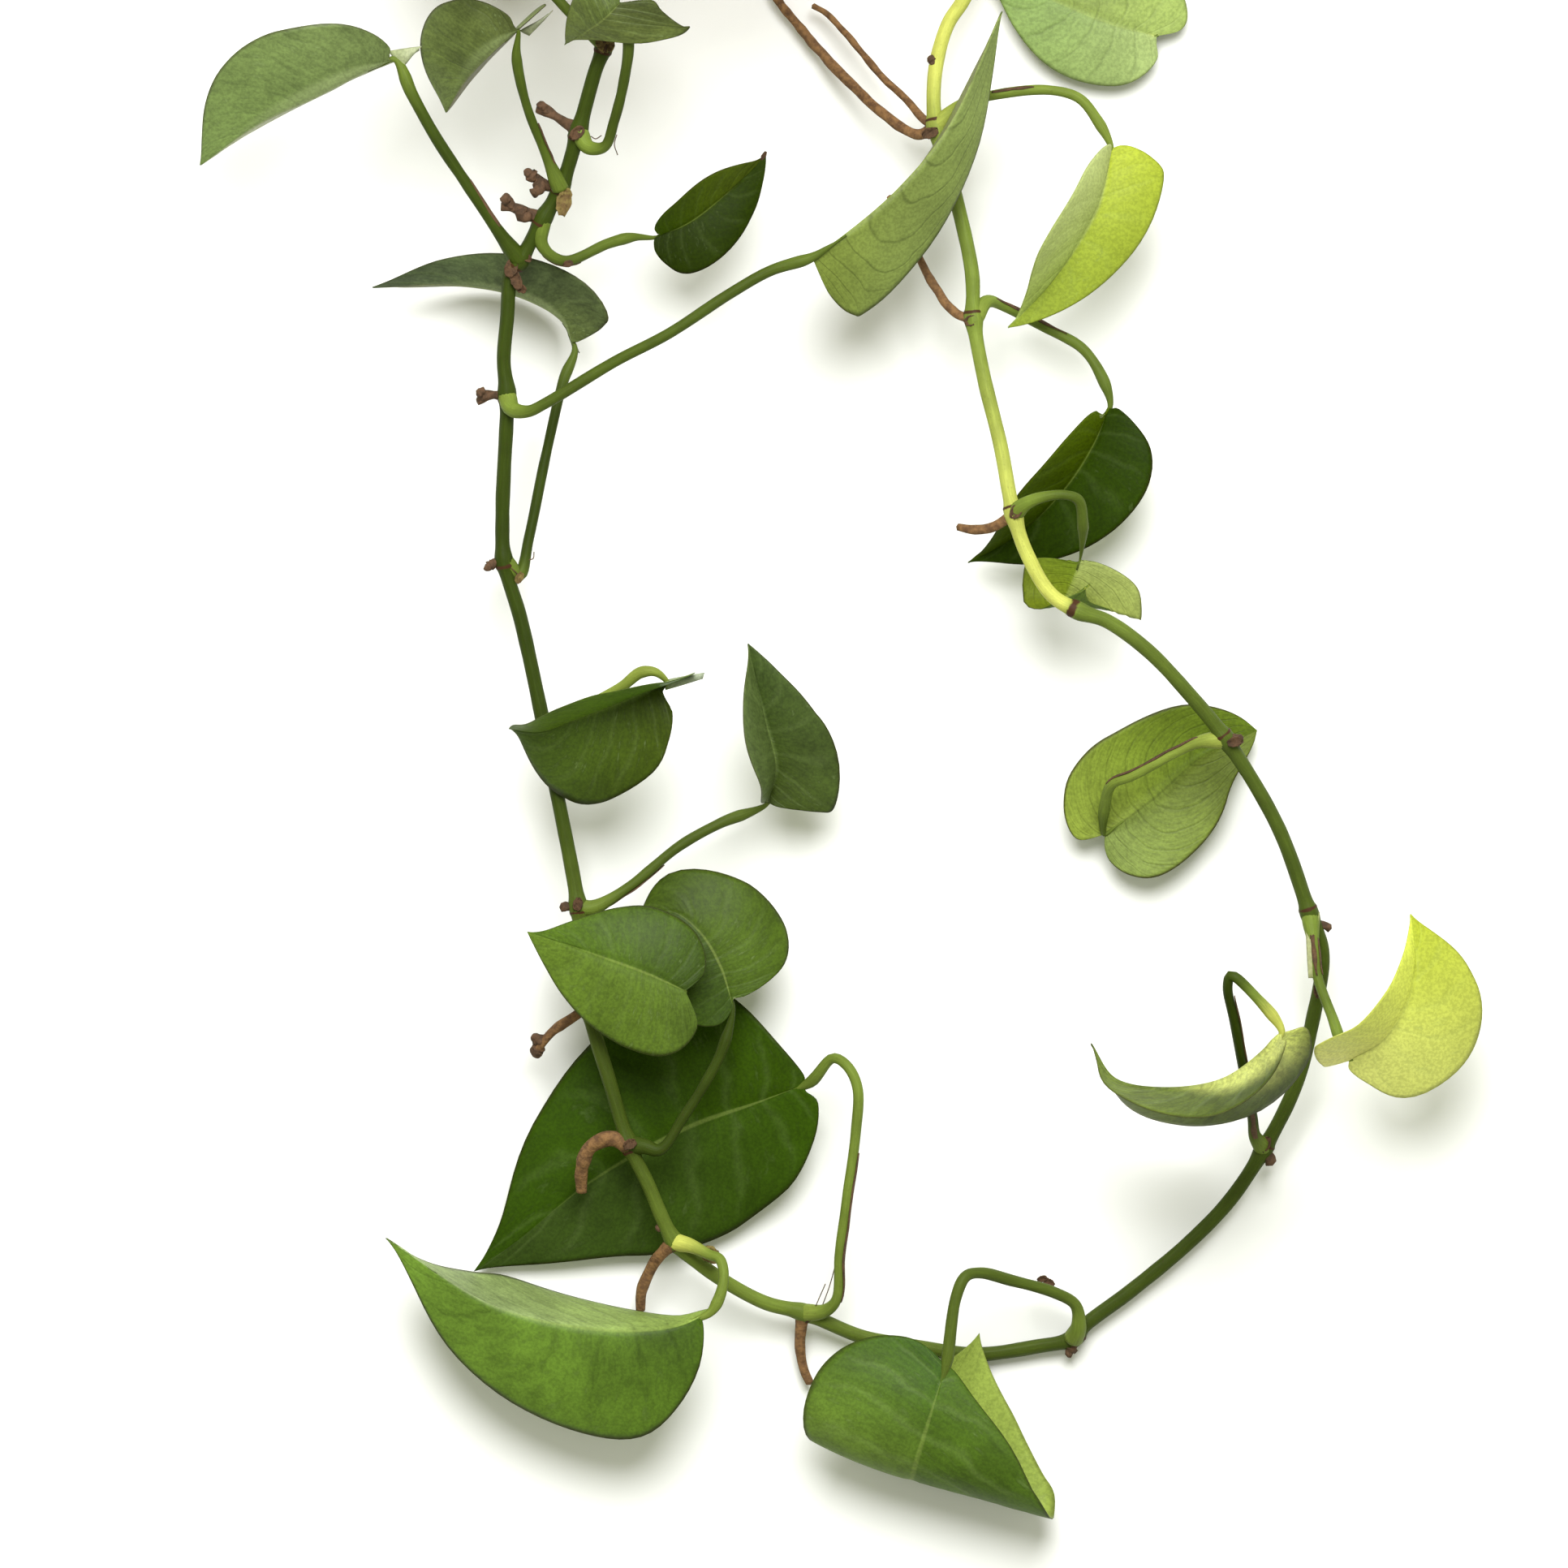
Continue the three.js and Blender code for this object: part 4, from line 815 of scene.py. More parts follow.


# Some halves' tones, bands and feet below hold painted light, as the comment by each such leaf says.
LEAF_LOOKS = {
    "leaf_01": look("46622a 5a7436", "46622a 55703a"),
    "leaf_02": look("6c8844 7a9850", "6c8844 7a9850"),
    "leaf_03": look("5a7030 6b8238", "5a7030 66803a"),
    "leaf_04": look("596430 7e8d47", "687a37 74833f", youth=0.08, foot_youth=0.35, mottle=0.24,
                     flecks=0.8, veins=0.2, sheen=0.2),
    # Its pale left half and its band are painted sheen where that half folds down from the midrib.
    "leaf_05": look("606347 a29f81", "50592c 869a4f", youth=0.08, top_youth=0.12, girth=0.95, mottle=0.22,
                     flecks=0.6, band=0.5),
    "leaf_06": look("3e5702 596917", "233002 2f4102", youth=0.12, top_youth=0.15, sheen=0.05, rib=0.3,
                     veins=0.08),
    # Its pale left half, its underside tones and its band are painted sheen where the left half folds down
    # from the midrib.
    "leaf_07": look("b7c48c c2c9a3", "798b51 819953", "9aa670 a3aa82", youth=0.04, foot_youth=0.05,
                     top_youth=0.2, girth=1.2, band=0.9, veins=-0.12, flecks=0.6, mottle=0.2, sheen=0.2),
    "leaf_08": look("8a9765 8f9b55", "859641 8fa159", "5a7030 66803a", youth=0.1, foot_youth=0.4,
                     girth=1.15, veins=-0.75, rib=0.3, mottle=0.1, swept=0.4),
    # Its band is painted sheen along the fold at its midrib.
    "leaf_09": look("76803f 818c4d", "606d37 677950", youth=0.0, mottle=0.28, flecks=0.9, band=0.8,
                     veins=0.2),
    "leaf_10": look("455609 546d22", "739f2f 698524", youth=0.45, foot_youth=0.1, top_youth=0.5,
                     flecks=0.5, veins=0.15, rib=0.2, mottle=0.2),
    "leaf_11": look("637739 6e8444", "475818 50652b", youth=0.1, foot_youth=0.25, worn=0.16, mottle=0.22,
                     flecks=0.8, veins=0.15, rib=0.12, sheen=0.2),
    "leaf_12": look("5e7628 6c882a", "3a500e 5e7c22", youth=0.0, foot_youth=0.1, worn=0.1, flecks=0.5,
                     rib=0.35, mottle=0.2, veins=0.08),
    # Its left half's tip tone is darkened as painted shade where leaf_12 lies over it, and its petiole's brown
    # (worn) is partly painted shade too.
    "leaf_13": look("476118 44591a", "556f1c 4f6619", youth=0.0, foot_youth=0.05, top_youth=0.0,
                     worn=0.32, flecks=0.5, rib=0.4, mottle=0.2, veins=0.08),
    # Its pale right half and its underside tones are painted sheen on the half that hangs down from the fold.
    "leaf_14": look("466210 769935", "9cb752 a8bc80", "92a952 97aa6d", youth=0.28, foot_youth=1.0,
                     top_youth=0.38, veins=-0.35, edge=0.7, mottle=0.18),
    "leaf_15": look("3a5802 3b4f1a", "354f01 365204", youth=0.25, foot_youth=0.45, sheen=0.05, rib=0.3,
                     veins=0.12),
    "leaf_16": look("4e6e14 5d772a", "3f6309 839e40", "a8bd55 a8bd55", youth=0.12, foot_youth=0.4,
                     girth=1.2, flecks=0.4, veins=0.25, rib=0.3, mottle=0.18),
    # Its pale yellow foot is partly the blade's own pale base and partly painted light shining through the
    # blade, made brighter where the blade turns from the lamp.
    "leaf_17": look("48590e 7a8c3c", "48590e 7a8c3c", youth=0.0, foot_youth=0.25, top_youth=0.95,
                     alike=True, foot=tones("f6ff8c")[0], foot_reach=0.6, flecks=0.6, mottle=0.26,
                     veins=0.3),
    "leaf_18": look("ffff98 edfa5d", "faff92 bbc834", "c4d468 c4d468", youth=0.15, foot_youth=0.35,
                     top_youth=0.3, rib=0.3, veins=0.15, edge=0.2, flecks=0.3, mottle=0.06),
    "leaf_19": look("a2b648 6a821c", "92a654 7e9034", "5f7a2a 6a8432", youth=0.4, foot_youth=0.55,
                     top_youth=0.14, veins=-0.55, rib=-0.5, edge=0.8, mottle=0.18, swept=0.34),
    "leaf_20": look("ccdc80 aab84a", "88a12c 84911f", "5f7a2a 6a8432", youth=0.1, foot_youth=0.4,
                     veins=-0.4, swept=0.3),
    "leaf_21": look("2d4201 2c4201", "5e750b 495f03", youth=0.18, foot_youth=0.45, sheen=0.04, rib=0.3,
                     veins=0.08),
    "leaf_22": look("bccb3a 9caf3c", "cdd891 c7de70", "9cae56 9cae56", youth=0.35, foot_youth=0.6,
                     top_youth=0.4, rib=0.7, veins=0.1, edge=0.25, flecks=0.4, mottle=0.07),
    "leaf_23": look("aec27a 90ae5e", "a4b964 9cb25a", youth=0.4, foot=tones("c4d272")[0], foot_reach=0.12,
                     veins=-0.35, edge=0.3, flecks=0.25, mottle=0.12),
    "leaf_24": look("b0c050 a4b648", "b0c050 a4b648", youth=0.4, edge=0.25, flecks=0.3),
    "leaf_25": look("b8c850 a8ba40", "b8c850 a8ba40", youth=0.6, edge=0.2, flecks=0.3),
}
CROWN_LOOKS = [look("58762a 6a8a34", "526e26 648430"), look("64822e 789840", "5e7c2c 708e3c")]

# Leaves, stems and air roots

# Lengths of skin and of bark over which the share along them runs from 0 to 1, in millimetres
SKIN_REPEAT, BARK_REPEAT = 60, 30

VINE_SIDES, VINE_STEPS = 18, 1300
SHOOT_SIDES, SHOOT_STEPS = 16, 160
ROOT_SIDES, ROOT_STEP = 12, 0.6


def petiole_part(leaf, ribs, seed):
    """The petiole: broad where it clasps the stem, thin along its run, and thicker again at the
    joint under the blade, where it runs on into the midrib's underside."""
    look = leaf["look"]
    rib_run = ribs["places"][:14:3]
    under = ribs["up"][:14:3] * (1 if leaf.get("face_down") else -1)
    path = np.vstack([leaf["petiole"], rib_run[:1] + under[:1] * 0.3, rib_run[2:] + under[2:]])
    line, length = curve_through(path, PETIOLE_STATIONS)
    run = np.linspace(0, length, PETIOLE_STATIONS + 1)
    left_over = length - run
    radius = (PETIOLE_RADIUS * look["girth"] + FOOT_SWELLING * hill(run, 0, FOOT_REACH)
              + TOP_SWELLING * hill(left_over, THIN_FROM, TOP_REACH))
    radius *= np.clip(left_over / THIN_FROM, 0.2, 1) * (1 + 0.05 * scattered(len(run), seed))
    points, faces, uvs = tube(line, radius, PETIOLE_SIDES)
    uvs[:, 0] *= length / SKIN_REPEAT
    youth = look["youth"]
    age = (youth + (look["foot_youth"] - youth) * hill(run, 0, FOOT_AGE_REACH)
           + (look["top_youth"] - youth) * hill(left_over, TOP_AGE_REACH, TOP_AGE_REACH))
    marks = {"youth": np.r_[np.repeat(np.clip(age, 0, 1), PETIOLE_SIDES), age[0], age[-1]],
             "ring": np.full(len(points), look["worn"])}
    return points, faces, uvs, marks


def leaf_piece(leaf, slot, number):
    look = leaf["look"]
    blade_points, blade_faces, blade_uvs, ids, ribs = blade_part(leaf, number)
    stalk = petiole_part(leaf, ribs, number)
    start = len(blade_points)
    blade_marks = {mark: np.zeros(start) for mark in stalk[3]}
    points, faces, uvs, marks = gather([(blade_points, blade_faces, blade_uvs, blade_marks), stalk])
    shown = blade_material(leaf["name"] + "_shown", look["left"], look["right"], seed=number * 3.1,
                           **look["marks"])
    hidden = blade_material(leaf["name"] + "_hidden", look["hidden"], look["hidden"], seed=number * 1.7,
                            mottle=0.1, flecks=0.1, veins=-0.3, edge=0.3)
    skins = [hidden, shown] if leaf.get("face_down") else [shown, shown if look["alike"] else hidden]
    make_piece(leaf["name"] + "_fine", points + leaf["origin"], faces, slot, leaf["name"], skins + [STALK],
               uvs, marks, ids + [2] * len(stalk[1]))


def stem_part(path, joints, youth_at, sides, steps, bare=()):
    """A stem with a swelling and a brown ring at each joint. youth_at gives its age along its run, and along
    the vine some painted shade too.
    """
    line, length = curve_through(path, steps)
    run = np.linspace(0, length, steps + 1)
    radius = STEM_RADIUS * (0.96 + 0.03 * scattered(steps + 1, STEM_START))
    ring = np.zeros(steps + 1)
    ringed = [(joint, RING_REACH) for joint in joints] + [(joint, BARE_RING_REACH) for joint in bare]
    for joint, reach in ringed:
        nearest = np.argmin(np.linalg.norm(line - np.asarray(joint), axis=1))
        off = run - run[nearest]
        radius = (radius + JOINT_SWELLING * hill(off, 0, JOINT_REACH)
                  + JOINT_LIP * hill(off, LIP_PLACE, LIP_REACH))
        ring = np.maximum(ring, 0.9 * hill(off, RING_PLACE, reach))
    furrow = 1 + 0.03 * np.cos(3 * round_turns(sides)[None, :] + 0.02 * run[:, None])
    points, faces, uvs = tube(line, radius[:, None] * furrow, sides)
    uvs[:, 0] *= length / SKIN_REPEAT
    youth = youth_at(run / length)
    marks = {"youth": np.r_[np.repeat(youth, sides), youth[0], youth[-1]],
             "ring": np.r_[np.repeat(ring, sides), 0, 0]}
    return points, faces, uvs, marks


def root_part(radius, path, seed, rough=1.0, blunt=0.0):
    """A woody air root: stout at its foot, and as knobbed along its run as it is rough. A blunt one
    ends in a swollen knob."""
    path = np.asarray(path, float)
    length = np.linalg.norm(np.diff(path, axis=0), axis=1).sum()
    stations = max(20, int(length / ROOT_STEP))
    line, length = curve_through(path, stations)
    share = np.linspace(0, 1, stations + 1)
    for axis in (0, 1):
        shift = scattered(stations + 1, ROOT_BENDS_START + seed * 2 + axis, 6)
        line[:, axis] += 0.35 * rough * shift * np.clip(share * 6, 0, 1)
    knobs = 1 + 0.24 * rough * scattered(stations + 1, KNOBS_START + seed, 4)[:, None]
    ribs = 1 + 0.12 * rough * np.cos(3 * round_turns(ROOT_SIDES)[None, :] + 9 * share[:, None])
    taper = (1.1 - 0.3 * share ** 2 + 0.35 * hill(share * length, 0, 2.5)
             + blunt * hill((1 - share) * length, 0, 2))
    points, faces, uvs = tube(line, radius * knobs * ribs * taper[:, None], ROOT_SIDES)
    uvs[:, 0] *= length / BARK_REPEAT
    return points, faces, uvs, {}


# Dried sheaths, bracts and fibres

# A sheath's path is cut into so many steps, and its skin into so many rows and columns.
SHEATH_STEPS, SHEATH_ROWS, SHEATH_COLUMNS = 600, 27, 5
SCRAP_ROWS, SCRAP_COLUMNS = 11, 7
FLAP_ROWS = 9
FIBRE_STEPS, FIBRE_SIDES = 24, 6


def on_floor(places):
    """The places that a camera above the middle sees behind them on the floor."""
    return places[..., :2] / (1 - places[..., 2:] * MM / CAMERA_HEIGHT)


def seen_at(x, y, height):
    """The place that the photograph shows at a pixel, at a height in millimetres."""
    scale = PIXEL * (1 - height * MM / CAMERA_HEIGHT)
    return np.array([(x - PICTURE_MIDDLE) * scale, (PICTURE_MIDDLE - y) * scale, height])


def shell(grid, thickness):
    """A thin closed sheet about a grid of places."""
    normals = grid_normals(grid) * thickness / 2
    rows, columns = grid.shape[:2]
    points = np.vstack([(grid + normals).reshape(-1, 3), (grid - normals).reshape(-1, 3)])
    spread = np.stack(np.meshgrid(np.linspace(0, 1, rows), np.linspace(0, 1, columns), indexing="ij"), -1)
    return points, sheet_faces(rows, columns), np.vstack([spread.reshape(-1, 2)] * 2), {}


def sheath_part(path, start, end, turn, breadth, radius, seed):
    """A dried sheath: a thin torn strip along a petiole or the stem, between two pixels of the
    photograph. turn is where on the round it sits: 0 on the left, looking along, and 90 on top."""
    line, _ = curve_through(path, SHEATH_STEPS)
    flat = on_floor(line)
    ends = [np.argmin(np.linalg.norm(flat - seen_at(*pixel, 0.0)[:2], axis=1)) for pixel in (start, end)]
    picks = np.linspace(min(ends), max(ends), SHEATH_ROWS)
    spots = between(line, np.arange(SHEATH_STEPS + 1), picks)
    along = unit(np.gradient(spots, axis=0))
    left = unit(np.cross([0, 0, 1], along))
    turns = math.radians(turn)
    away = left * math.cos(turns) + np.cross(along, left) * math.sin(turns)
    share = np.linspace(0, 1, SHEATH_ROWS)
    ragged = 1 + 0.3 * scattered(len(spots), SHEATH_EDGE_START + seed, 3)
    width = breadth * np.sin(math.pi * (share * 0.9 + 0.05)) ** 0.5 * ragged
    lift = radius + 0.2 + 0.12 * scattered(len(spots), SHEATH_LIFT_START + seed, 3)
    rows = [spots + away * np.sqrt(lift ** 2 - (width * out) ** 2)[:, None]
            + np.cross(along, away) * (width * out)[:, None] for out in np.linspace(-0.5, 0.5, SHEATH_COLUMNS)]
    return shell(np.stack(rows, 1), PAPER_THICKNESS)


def scrap_part(x, y, height, heading, length, breadth, seed):
    """A crumpled papery bract, at a pixel of the photograph."""
    own = np.random.default_rng(SCRAP_START + seed)
    share = np.linspace(0, 1, SCRAP_ROWS)[:, None]
    out = np.linspace(-0.5, 0.5, SCRAP_COLUMNS)[None, :]
    width = breadth * np.sin(math.pi * (share * 0.86 + 0.07)) ** 0.6
    ahead, side = level(heading), level(heading + 90)
    bend = own.uniform(-0.12, 0.12, (SCRAP_ROWS, SCRAP_COLUMNS)) * breadth + 1.1 * width * out ** 2
    grid = (seen_at(x, y, height) + ahead * ((share - 0.5) * length + 0 * out)[..., None]
            + side * (width * out)[..., None] + np.array([0, 0, 1]) * bend[..., None])
    grid += own.uniform(-0.05, 0.05, grid.shape) * breadth
    return shell(grid, PAPER_THICKNESS)


def flap_part(corners):
    """A small flap of green skin between four places, given in turn as pixels and heights."""
    share = np.linspace(0, 1, FLAP_ROWS)
    ends = [seen_at(*corner) for corner in corners]
    one = ends[0] + np.multiply.outer(share, ends[1] - ends[0])
    other = ends[3] + np.multiply.outer(share, ends[2] - ends[3])
    grid = one[:, None] * (1 - share)[None, :, None] + other[:, None] * share[None, :, None]
    grid[..., 2] += 1.2 * np.sin(math.pi * share)[:, None] * np.sin(math.pi * share)[None, :]
    return shell(grid, FLAP_THICKNESS)


def fibre_part(*pixels):
    line, length = curve_through([seen_at(*pixel) for pixel in pixels], FIBRE_STEPS)
    points, faces, uvs = tube(line, np.full(len(line), FIBRE_RADIUS), FIBRE_SIDES)
    return points, faces, uvs * length / BARK_REPEAT, {}


# Pot and soil, in millimetres. The pot's radii are counted inward from its rim.

POT_BAND, POT_TAPER, POT_WAIST, POT_LEDGE, POT_WALL, POT_FLOOR, POT_EASE = 24, 23, 7.2, 3.4, 5, 7, 1.6
POT_SIDES = 128
SOIL_SUNK, SOIL_DOME, SOIL_LUMPS, SOIL_FOOT_RADIUS = 1.6, 3, 1.5, 42
SOIL_RINGS, SOIL_SIDES = 60, 180


def eased(corners, radius, steps=5):
    """An outline with each inner corner rounded off by about that radius."""
    corners = [np.array(corner, float) for corner in corners]
    outline = [corners[0]]
    for before, corner, after in zip(corners, corners[1:], corners[2:]):
        reach = min(radius, np.linalg.norm(before - corner) / 2.2, np.linalg.norm(after - corner) / 2.2)
        start = corner + unit(before - corner) * reach
        end = corner + unit(after - corner) * reach
        for share in np.linspace(0, 1, steps):
            outline.append((1 - share) ** 2 * start + 2 * share * (1 - share) * corner + share ** 2 * end)
    outline.append(corners[-1])
    return outline


def round_rows(radii, heights, sides):
    """Rings of points about the axis, each with its radius and its height or heights."""
    turns = round_turns(sides)
    rows = [np.stack([radius * np.cos(turns), radius * np.sin(turns), np.zeros(sides) + height], 1)
            for radius, height in zip(radii, heights)]
    return np.vstack(rows)


def pot_piece():
    """The clay pot, turned from its wall's outline, which runs from the axis to the axis."""
    high = POT_HIGH[2] / MM
    rim = POT_HIGH[0] / MM
    band = high - POT_BAND
    corners = [(0, 0), (rim - POT_TAPER, 0), (rim - POT_WAIST, band - 2), (rim - POT_LEDGE, band),
               (rim - 0.1, high - 4), (rim - 0.3, high), (rim - POT_WALL, high),
               (rim - POT_WAIST - POT_WALL, band), (rim - POT_TAPER - POT_WALL, POT_FLOOR), (0, POT_FLOOR)]
    bottom, *rings, floor = eased(corners, POT_EASE)
    points = np.vstack([round_rows(*zip(*rings), POT_SIDES), [[0, 0, bottom[1]], [0, 0, floor[1]]]])
    faces = round_faces(len(rings), POT_SIDES, len(points) - 2, len(points) - 1)
    make_piece("pot_clay", points, faces, "terracotta", "pot", [CLAY])


def soil_piece():
    """Crumbly soil: a disc with lumps raised from its surface, and a plain body under it."""
    edge = SOIL_HIGH[0] / MM
    foot = SOIL_LOW[2] / MM
    shares = np.linspace(0, 1, SOIL_RINGS + 1)[1:]
    lumps = rng.uniform(-1, 1, (SOIL_RINGS, SOIL_SIDES))
    for _ in range(2):
        lumps = (lumps + np.roll(lumps, 1, 1) + np.roll(lumps, -1, 1)) / 3
        lumps[1:-1] = (lumps[:-2] + lumps[1:-1] + lumps[2:]) / 3
    lumps /= np.abs(lumps).max()
    heights = SOIL_HIGH[2] / MM - SOIL_SUNK - SOIL_DOME * shares[:, None] ** 2 + SOIL_LUMPS * lumps
    radii = [SOIL_FOOT_RADIUS, *edge * shares[::-1]]
    points = np.vstack([round_rows(radii, [foot, *heights[::-1]], SOIL_SIDES),
                        [[0, 0, foot], [0, 0, heights[0].mean()]]])
    faces = round_faces(SOIL_RINGS + 1, SOIL_SIDES, len(points) - 2, len(points) - 1)
    make_piece("soil_crumbs", points, faces, "soil", "soil", [EARTH])


# The plant

STALK = stalk_material("stalk", *tones("dce06c 7c9038 3a4a0e"), srgb(66, 42, 24))
BARK = bark_material("bark", srgb(126, 92, 54), srgb(74, 48, 26))
STUB_BARK = bark_material("stub_bark", srgb(80, 56, 40), srgb(34, 22, 17))
SHEATH = bark_material("sheath", srgb(82, 56, 38), srgb(40, 26, 20))
PAPER = bark_material("paper", srgb(132, 120, 62), srgb(84, 66, 36))
CLAY = clay_material()
EARTH = earth_material()

for number, entry in enumerate(LEAVES):
    leaf = dict(entry, origin=VINE_CENTRE, look=LEAF_LOOKS[entry["name"]])
    leaf_piece(leaf, "leaf_" + entry["tint"], number + 1)


def vine_youth_and_shade(share):
    """Dark green from the pot to the bottom of the U, paler about its lowest bend, and yellow-green
    from the last brown ring on. Its dip about 0.52 is painted shade, beside leaf_16, which shades the stem
    there."""
    return np.interp(
        share, [0, 0.33, 0.37, 0.41, 0.46, 0.52, 0.56, 0.71, 0.764, 0.768, 0.8, 0.84, 0.88, 0.9, 1],
        [0.1, 0, 0.17, 0.05, 0.26, 0.12, 0.06, 0.1, 0.2, 0.95, 0.72, 0.36, 0.32, 0.88, 0.9])


vine_joints = [entry["petiole"][0] for entry in LEAVES]
vine_piece("vine_skin", [stem_part(STEM_PATH, vine_joints, vine_youth_and_shade, VINE_SIDES, VINE_STEPS,
                                   [BARE_JOINT])], STALK)

# Side prongs of the air roots and stubs: the radius, and pixels of the photograph, each with a height
PRONGS = [
    (1.5, [(668, 226, 47), (664, 233, 49), (658, 238, 50)]),
    (1.2, [(657, 217, 47), (652, 212, 48), (648, 214, 48)]),
    (1.2, [(630, 255, 45), (624, 246, 46), (620, 247, 47)]),
    (1.5, [(642, 260, 46), (648, 266, 47), (655, 266, 47)]),
    (1.2, [(672, 136, 50), (666, 129, 51), (664, 133, 51)]),
    (1.0, [(598, 487, 36), (592, 482, 37), (596, 481, 37)]),
    (1.0, [(598, 488, 36), (592, 494, 35), (594, 497, 35)]),
    (1.0, [(668, 1282, 20), (659, 1279, 20), (661, 1287, 19)]),
    (1.3, [(664, 1290, 19), (662, 1296, 18), (667, 1296, 18)]),
    (1.1, [(826, 1526, 18), (815, 1512, 19), (810, 1515, 19)]),
    (1.2, [(1616, 1136, 24), (1632, 1140, 24), (1638, 1144, 24)]),
    (0.9, [(1151, 76, 22), (1145, 72, 22), (1143, 71, 22)]),
    (1.2, [(608, 694, 30), (603, 699, 30), (601, 697, 30)]),
    (1.1, [(1320, 1662, 5), (1317, 1667, 5), (1322, 1668, 5)]),
]
vine_piece("root_stubs", [root_part(*root, index, blunt=0.3) for index, root in enumerate(ROOTS)
                          if len(root[1]) <= STUB_POINTS]
           + [root_part(radius, [seen_at(*pixel) for pixel in pixels], PRONGS_START + index,
                        blunt=0.2)
              for index, (radius, pixels) in enumerate(PRONGS)], STUB_BARK)
vine_piece("air_roots", [root_part(*root, index, rough=0.4) for index, root in enumerate(ROOTS)
                         if len(root[1]) > STUB_POINTS], BARK)

# Dried sheaths on petioles: the leaf, the pixels at both ends, the turn round the petiole, the width
PETIOLES = {entry["name"]: entry["petiole"] + entry["rib"][:1] for entry in LEAVES}
SHEATHS = [
    ("leaf_07", (657, 320), (577, 222), 150, 1.6), ("leaf_11", (755, 1120), (820, 1067), 195, 2.0),
    ("leaf_15", (1042, 1607), (1057, 1420), 165, 1.9), ("leaf_19", (1490, 912), (1369, 969), 150, 1.2),
    ("leaf_06", (664, 318), (717, 325), 190, 1.4), ("leaf_22", (1224, 119), (1275, 106), 60, 1.0),
    ("leaf_21", (1215, 372), (1315, 412), 50, 1.0), ("leaf_17", (1553, 1400), (1553, 1362), 90, 1.6),
    ("leaf_17", (1540, 1320), (1523, 1225), 160, 1.1), ("leaf_05", (690, 215), (664, 150), 150, 0.8),
    ("leaf_18", (1606, 1128), (1606, 1207), 20, 1.2), ("leaf_18", (1615, 1128), (1617, 1206), 95, 1.3),
]
# Crumpled bracts and scraps: x, y and height, which way they lie, length and width
SCRAPS = [
    (630, 330, 45, 70, 6, 4), (636, 345, 44, 110, 6, 3.4), (641, 355, 43, 150, 4, 2.6),
    (1522, 914, 37, 10, 5, 3), (1252, 630, 46, 60, 5, 3.4), (1292, 1580, 13, -30, 4, 2.4),
    (1284, 1576, 13, 20, 3, 2), (700, 325, 45, 20, 3, 2), (1559, 1410, 13, 60, 5, 3),
    (1622, 1222, 31, 100, 4, 1.6), (650, 318, 45, -40, 3, 2.2), (776, 1410, 27, 30, 4, 3),
    (1196, 395, 33, 20, 4, 3), (1146, 164, 27, 20, 5, 3.4), (711, 164, 56, 40, 5, 3.4),
    (742, 57, 66, -80, 4, 3), (712, 1114, 29, 80, 4, 3), (941, 192, 35, 60, 3, 1.2),
]
FIBRES = [
    ((1030, 1556, 14), (1022, 1585, 13), (1012, 1612, 11)),
    ((1017, 1582, 13), (1004, 1612, 12), (998, 1628, 11)),
    ((728, 168, 52), (734, 171, 52), (741, 167, 52)), ((760, 166, 50), (757, 178, 49), (761, 191, 48)),
    ((652, 690, 33), (657, 688, 33), (658, 680, 33)), ((630, 700, 32), (638, 708, 31), (642, 716, 31)),
]
sheaths = [sheath_part(PETIOLES[name], start, end, turn, breadth, PETIOLE_RADIUS * 1.05, index)
           for index, (name, start, end, turn, breadth) in enumerate(SHEATHS)]
sheaths += [scrap_part(*entry, index) for index, entry in enumerate(SCRAPS)]
vine_piece("dried_sheaths", sheaths + [fibre_part(*pixels) for pixels in FIBRES], SHEATH)

# Paler bracts, as the scraps above, with a random start of their own
BRACTS = [
    (695, 249, 51, 78, 8.5, 4.5, 30), (876, 1546, 20, -35, 6, 5, 31), (746, 52, 66, -85, 6, 6, 32),
    (640, 712, 31, 60, 3.6, 2.4, 34),
]
vine_piece("papery_bracts", [scrap_part(*entry) for entry in BRACTS], PAPER)

# Pale green flaps at joints and junctions: the leaf, the tones at both ends, and the corners in turn
FLAPS = [
    ("leaf_07", "b4be8c c4cca4", [(478, 63, 60), (520, 57, 60), (508, 68, 60), (496, 84, 60)]),
    ("leaf_05", "b0b88c c0c6a6", [(640, 38, 66), (664, 26, 67), (681, 13, 68), (652, 44, 66)]),
    ("leaf_10", "a8b88a c0ccae", [(818, 838, 44), (868, 829, 46), (866, 836, 46), (820, 850, 43)]),
    ("leaf_18", "c8cc96 b0b874", [(1608, 1124, 27.4), (1626, 1124, 27), (1622, 1205, 34.5),
                               (1612, 1205, 34.5)]),
]
TINTS = {entry["name"]: entry["tint"] for entry in LEAVES}
for name, codes, corners in FLAPS:
    points, faces, uvs, marks = flap_part(corners)
    skin = blade_material(name + "_flap", tones(codes), tones(codes), veins=0.0, rib=0.0, edge=0.3)
    make_piece(name + "_flap", points + VINE_CENTRE, faces, "leaf_" + TINTS[name], name, [skin], uvs, marks)


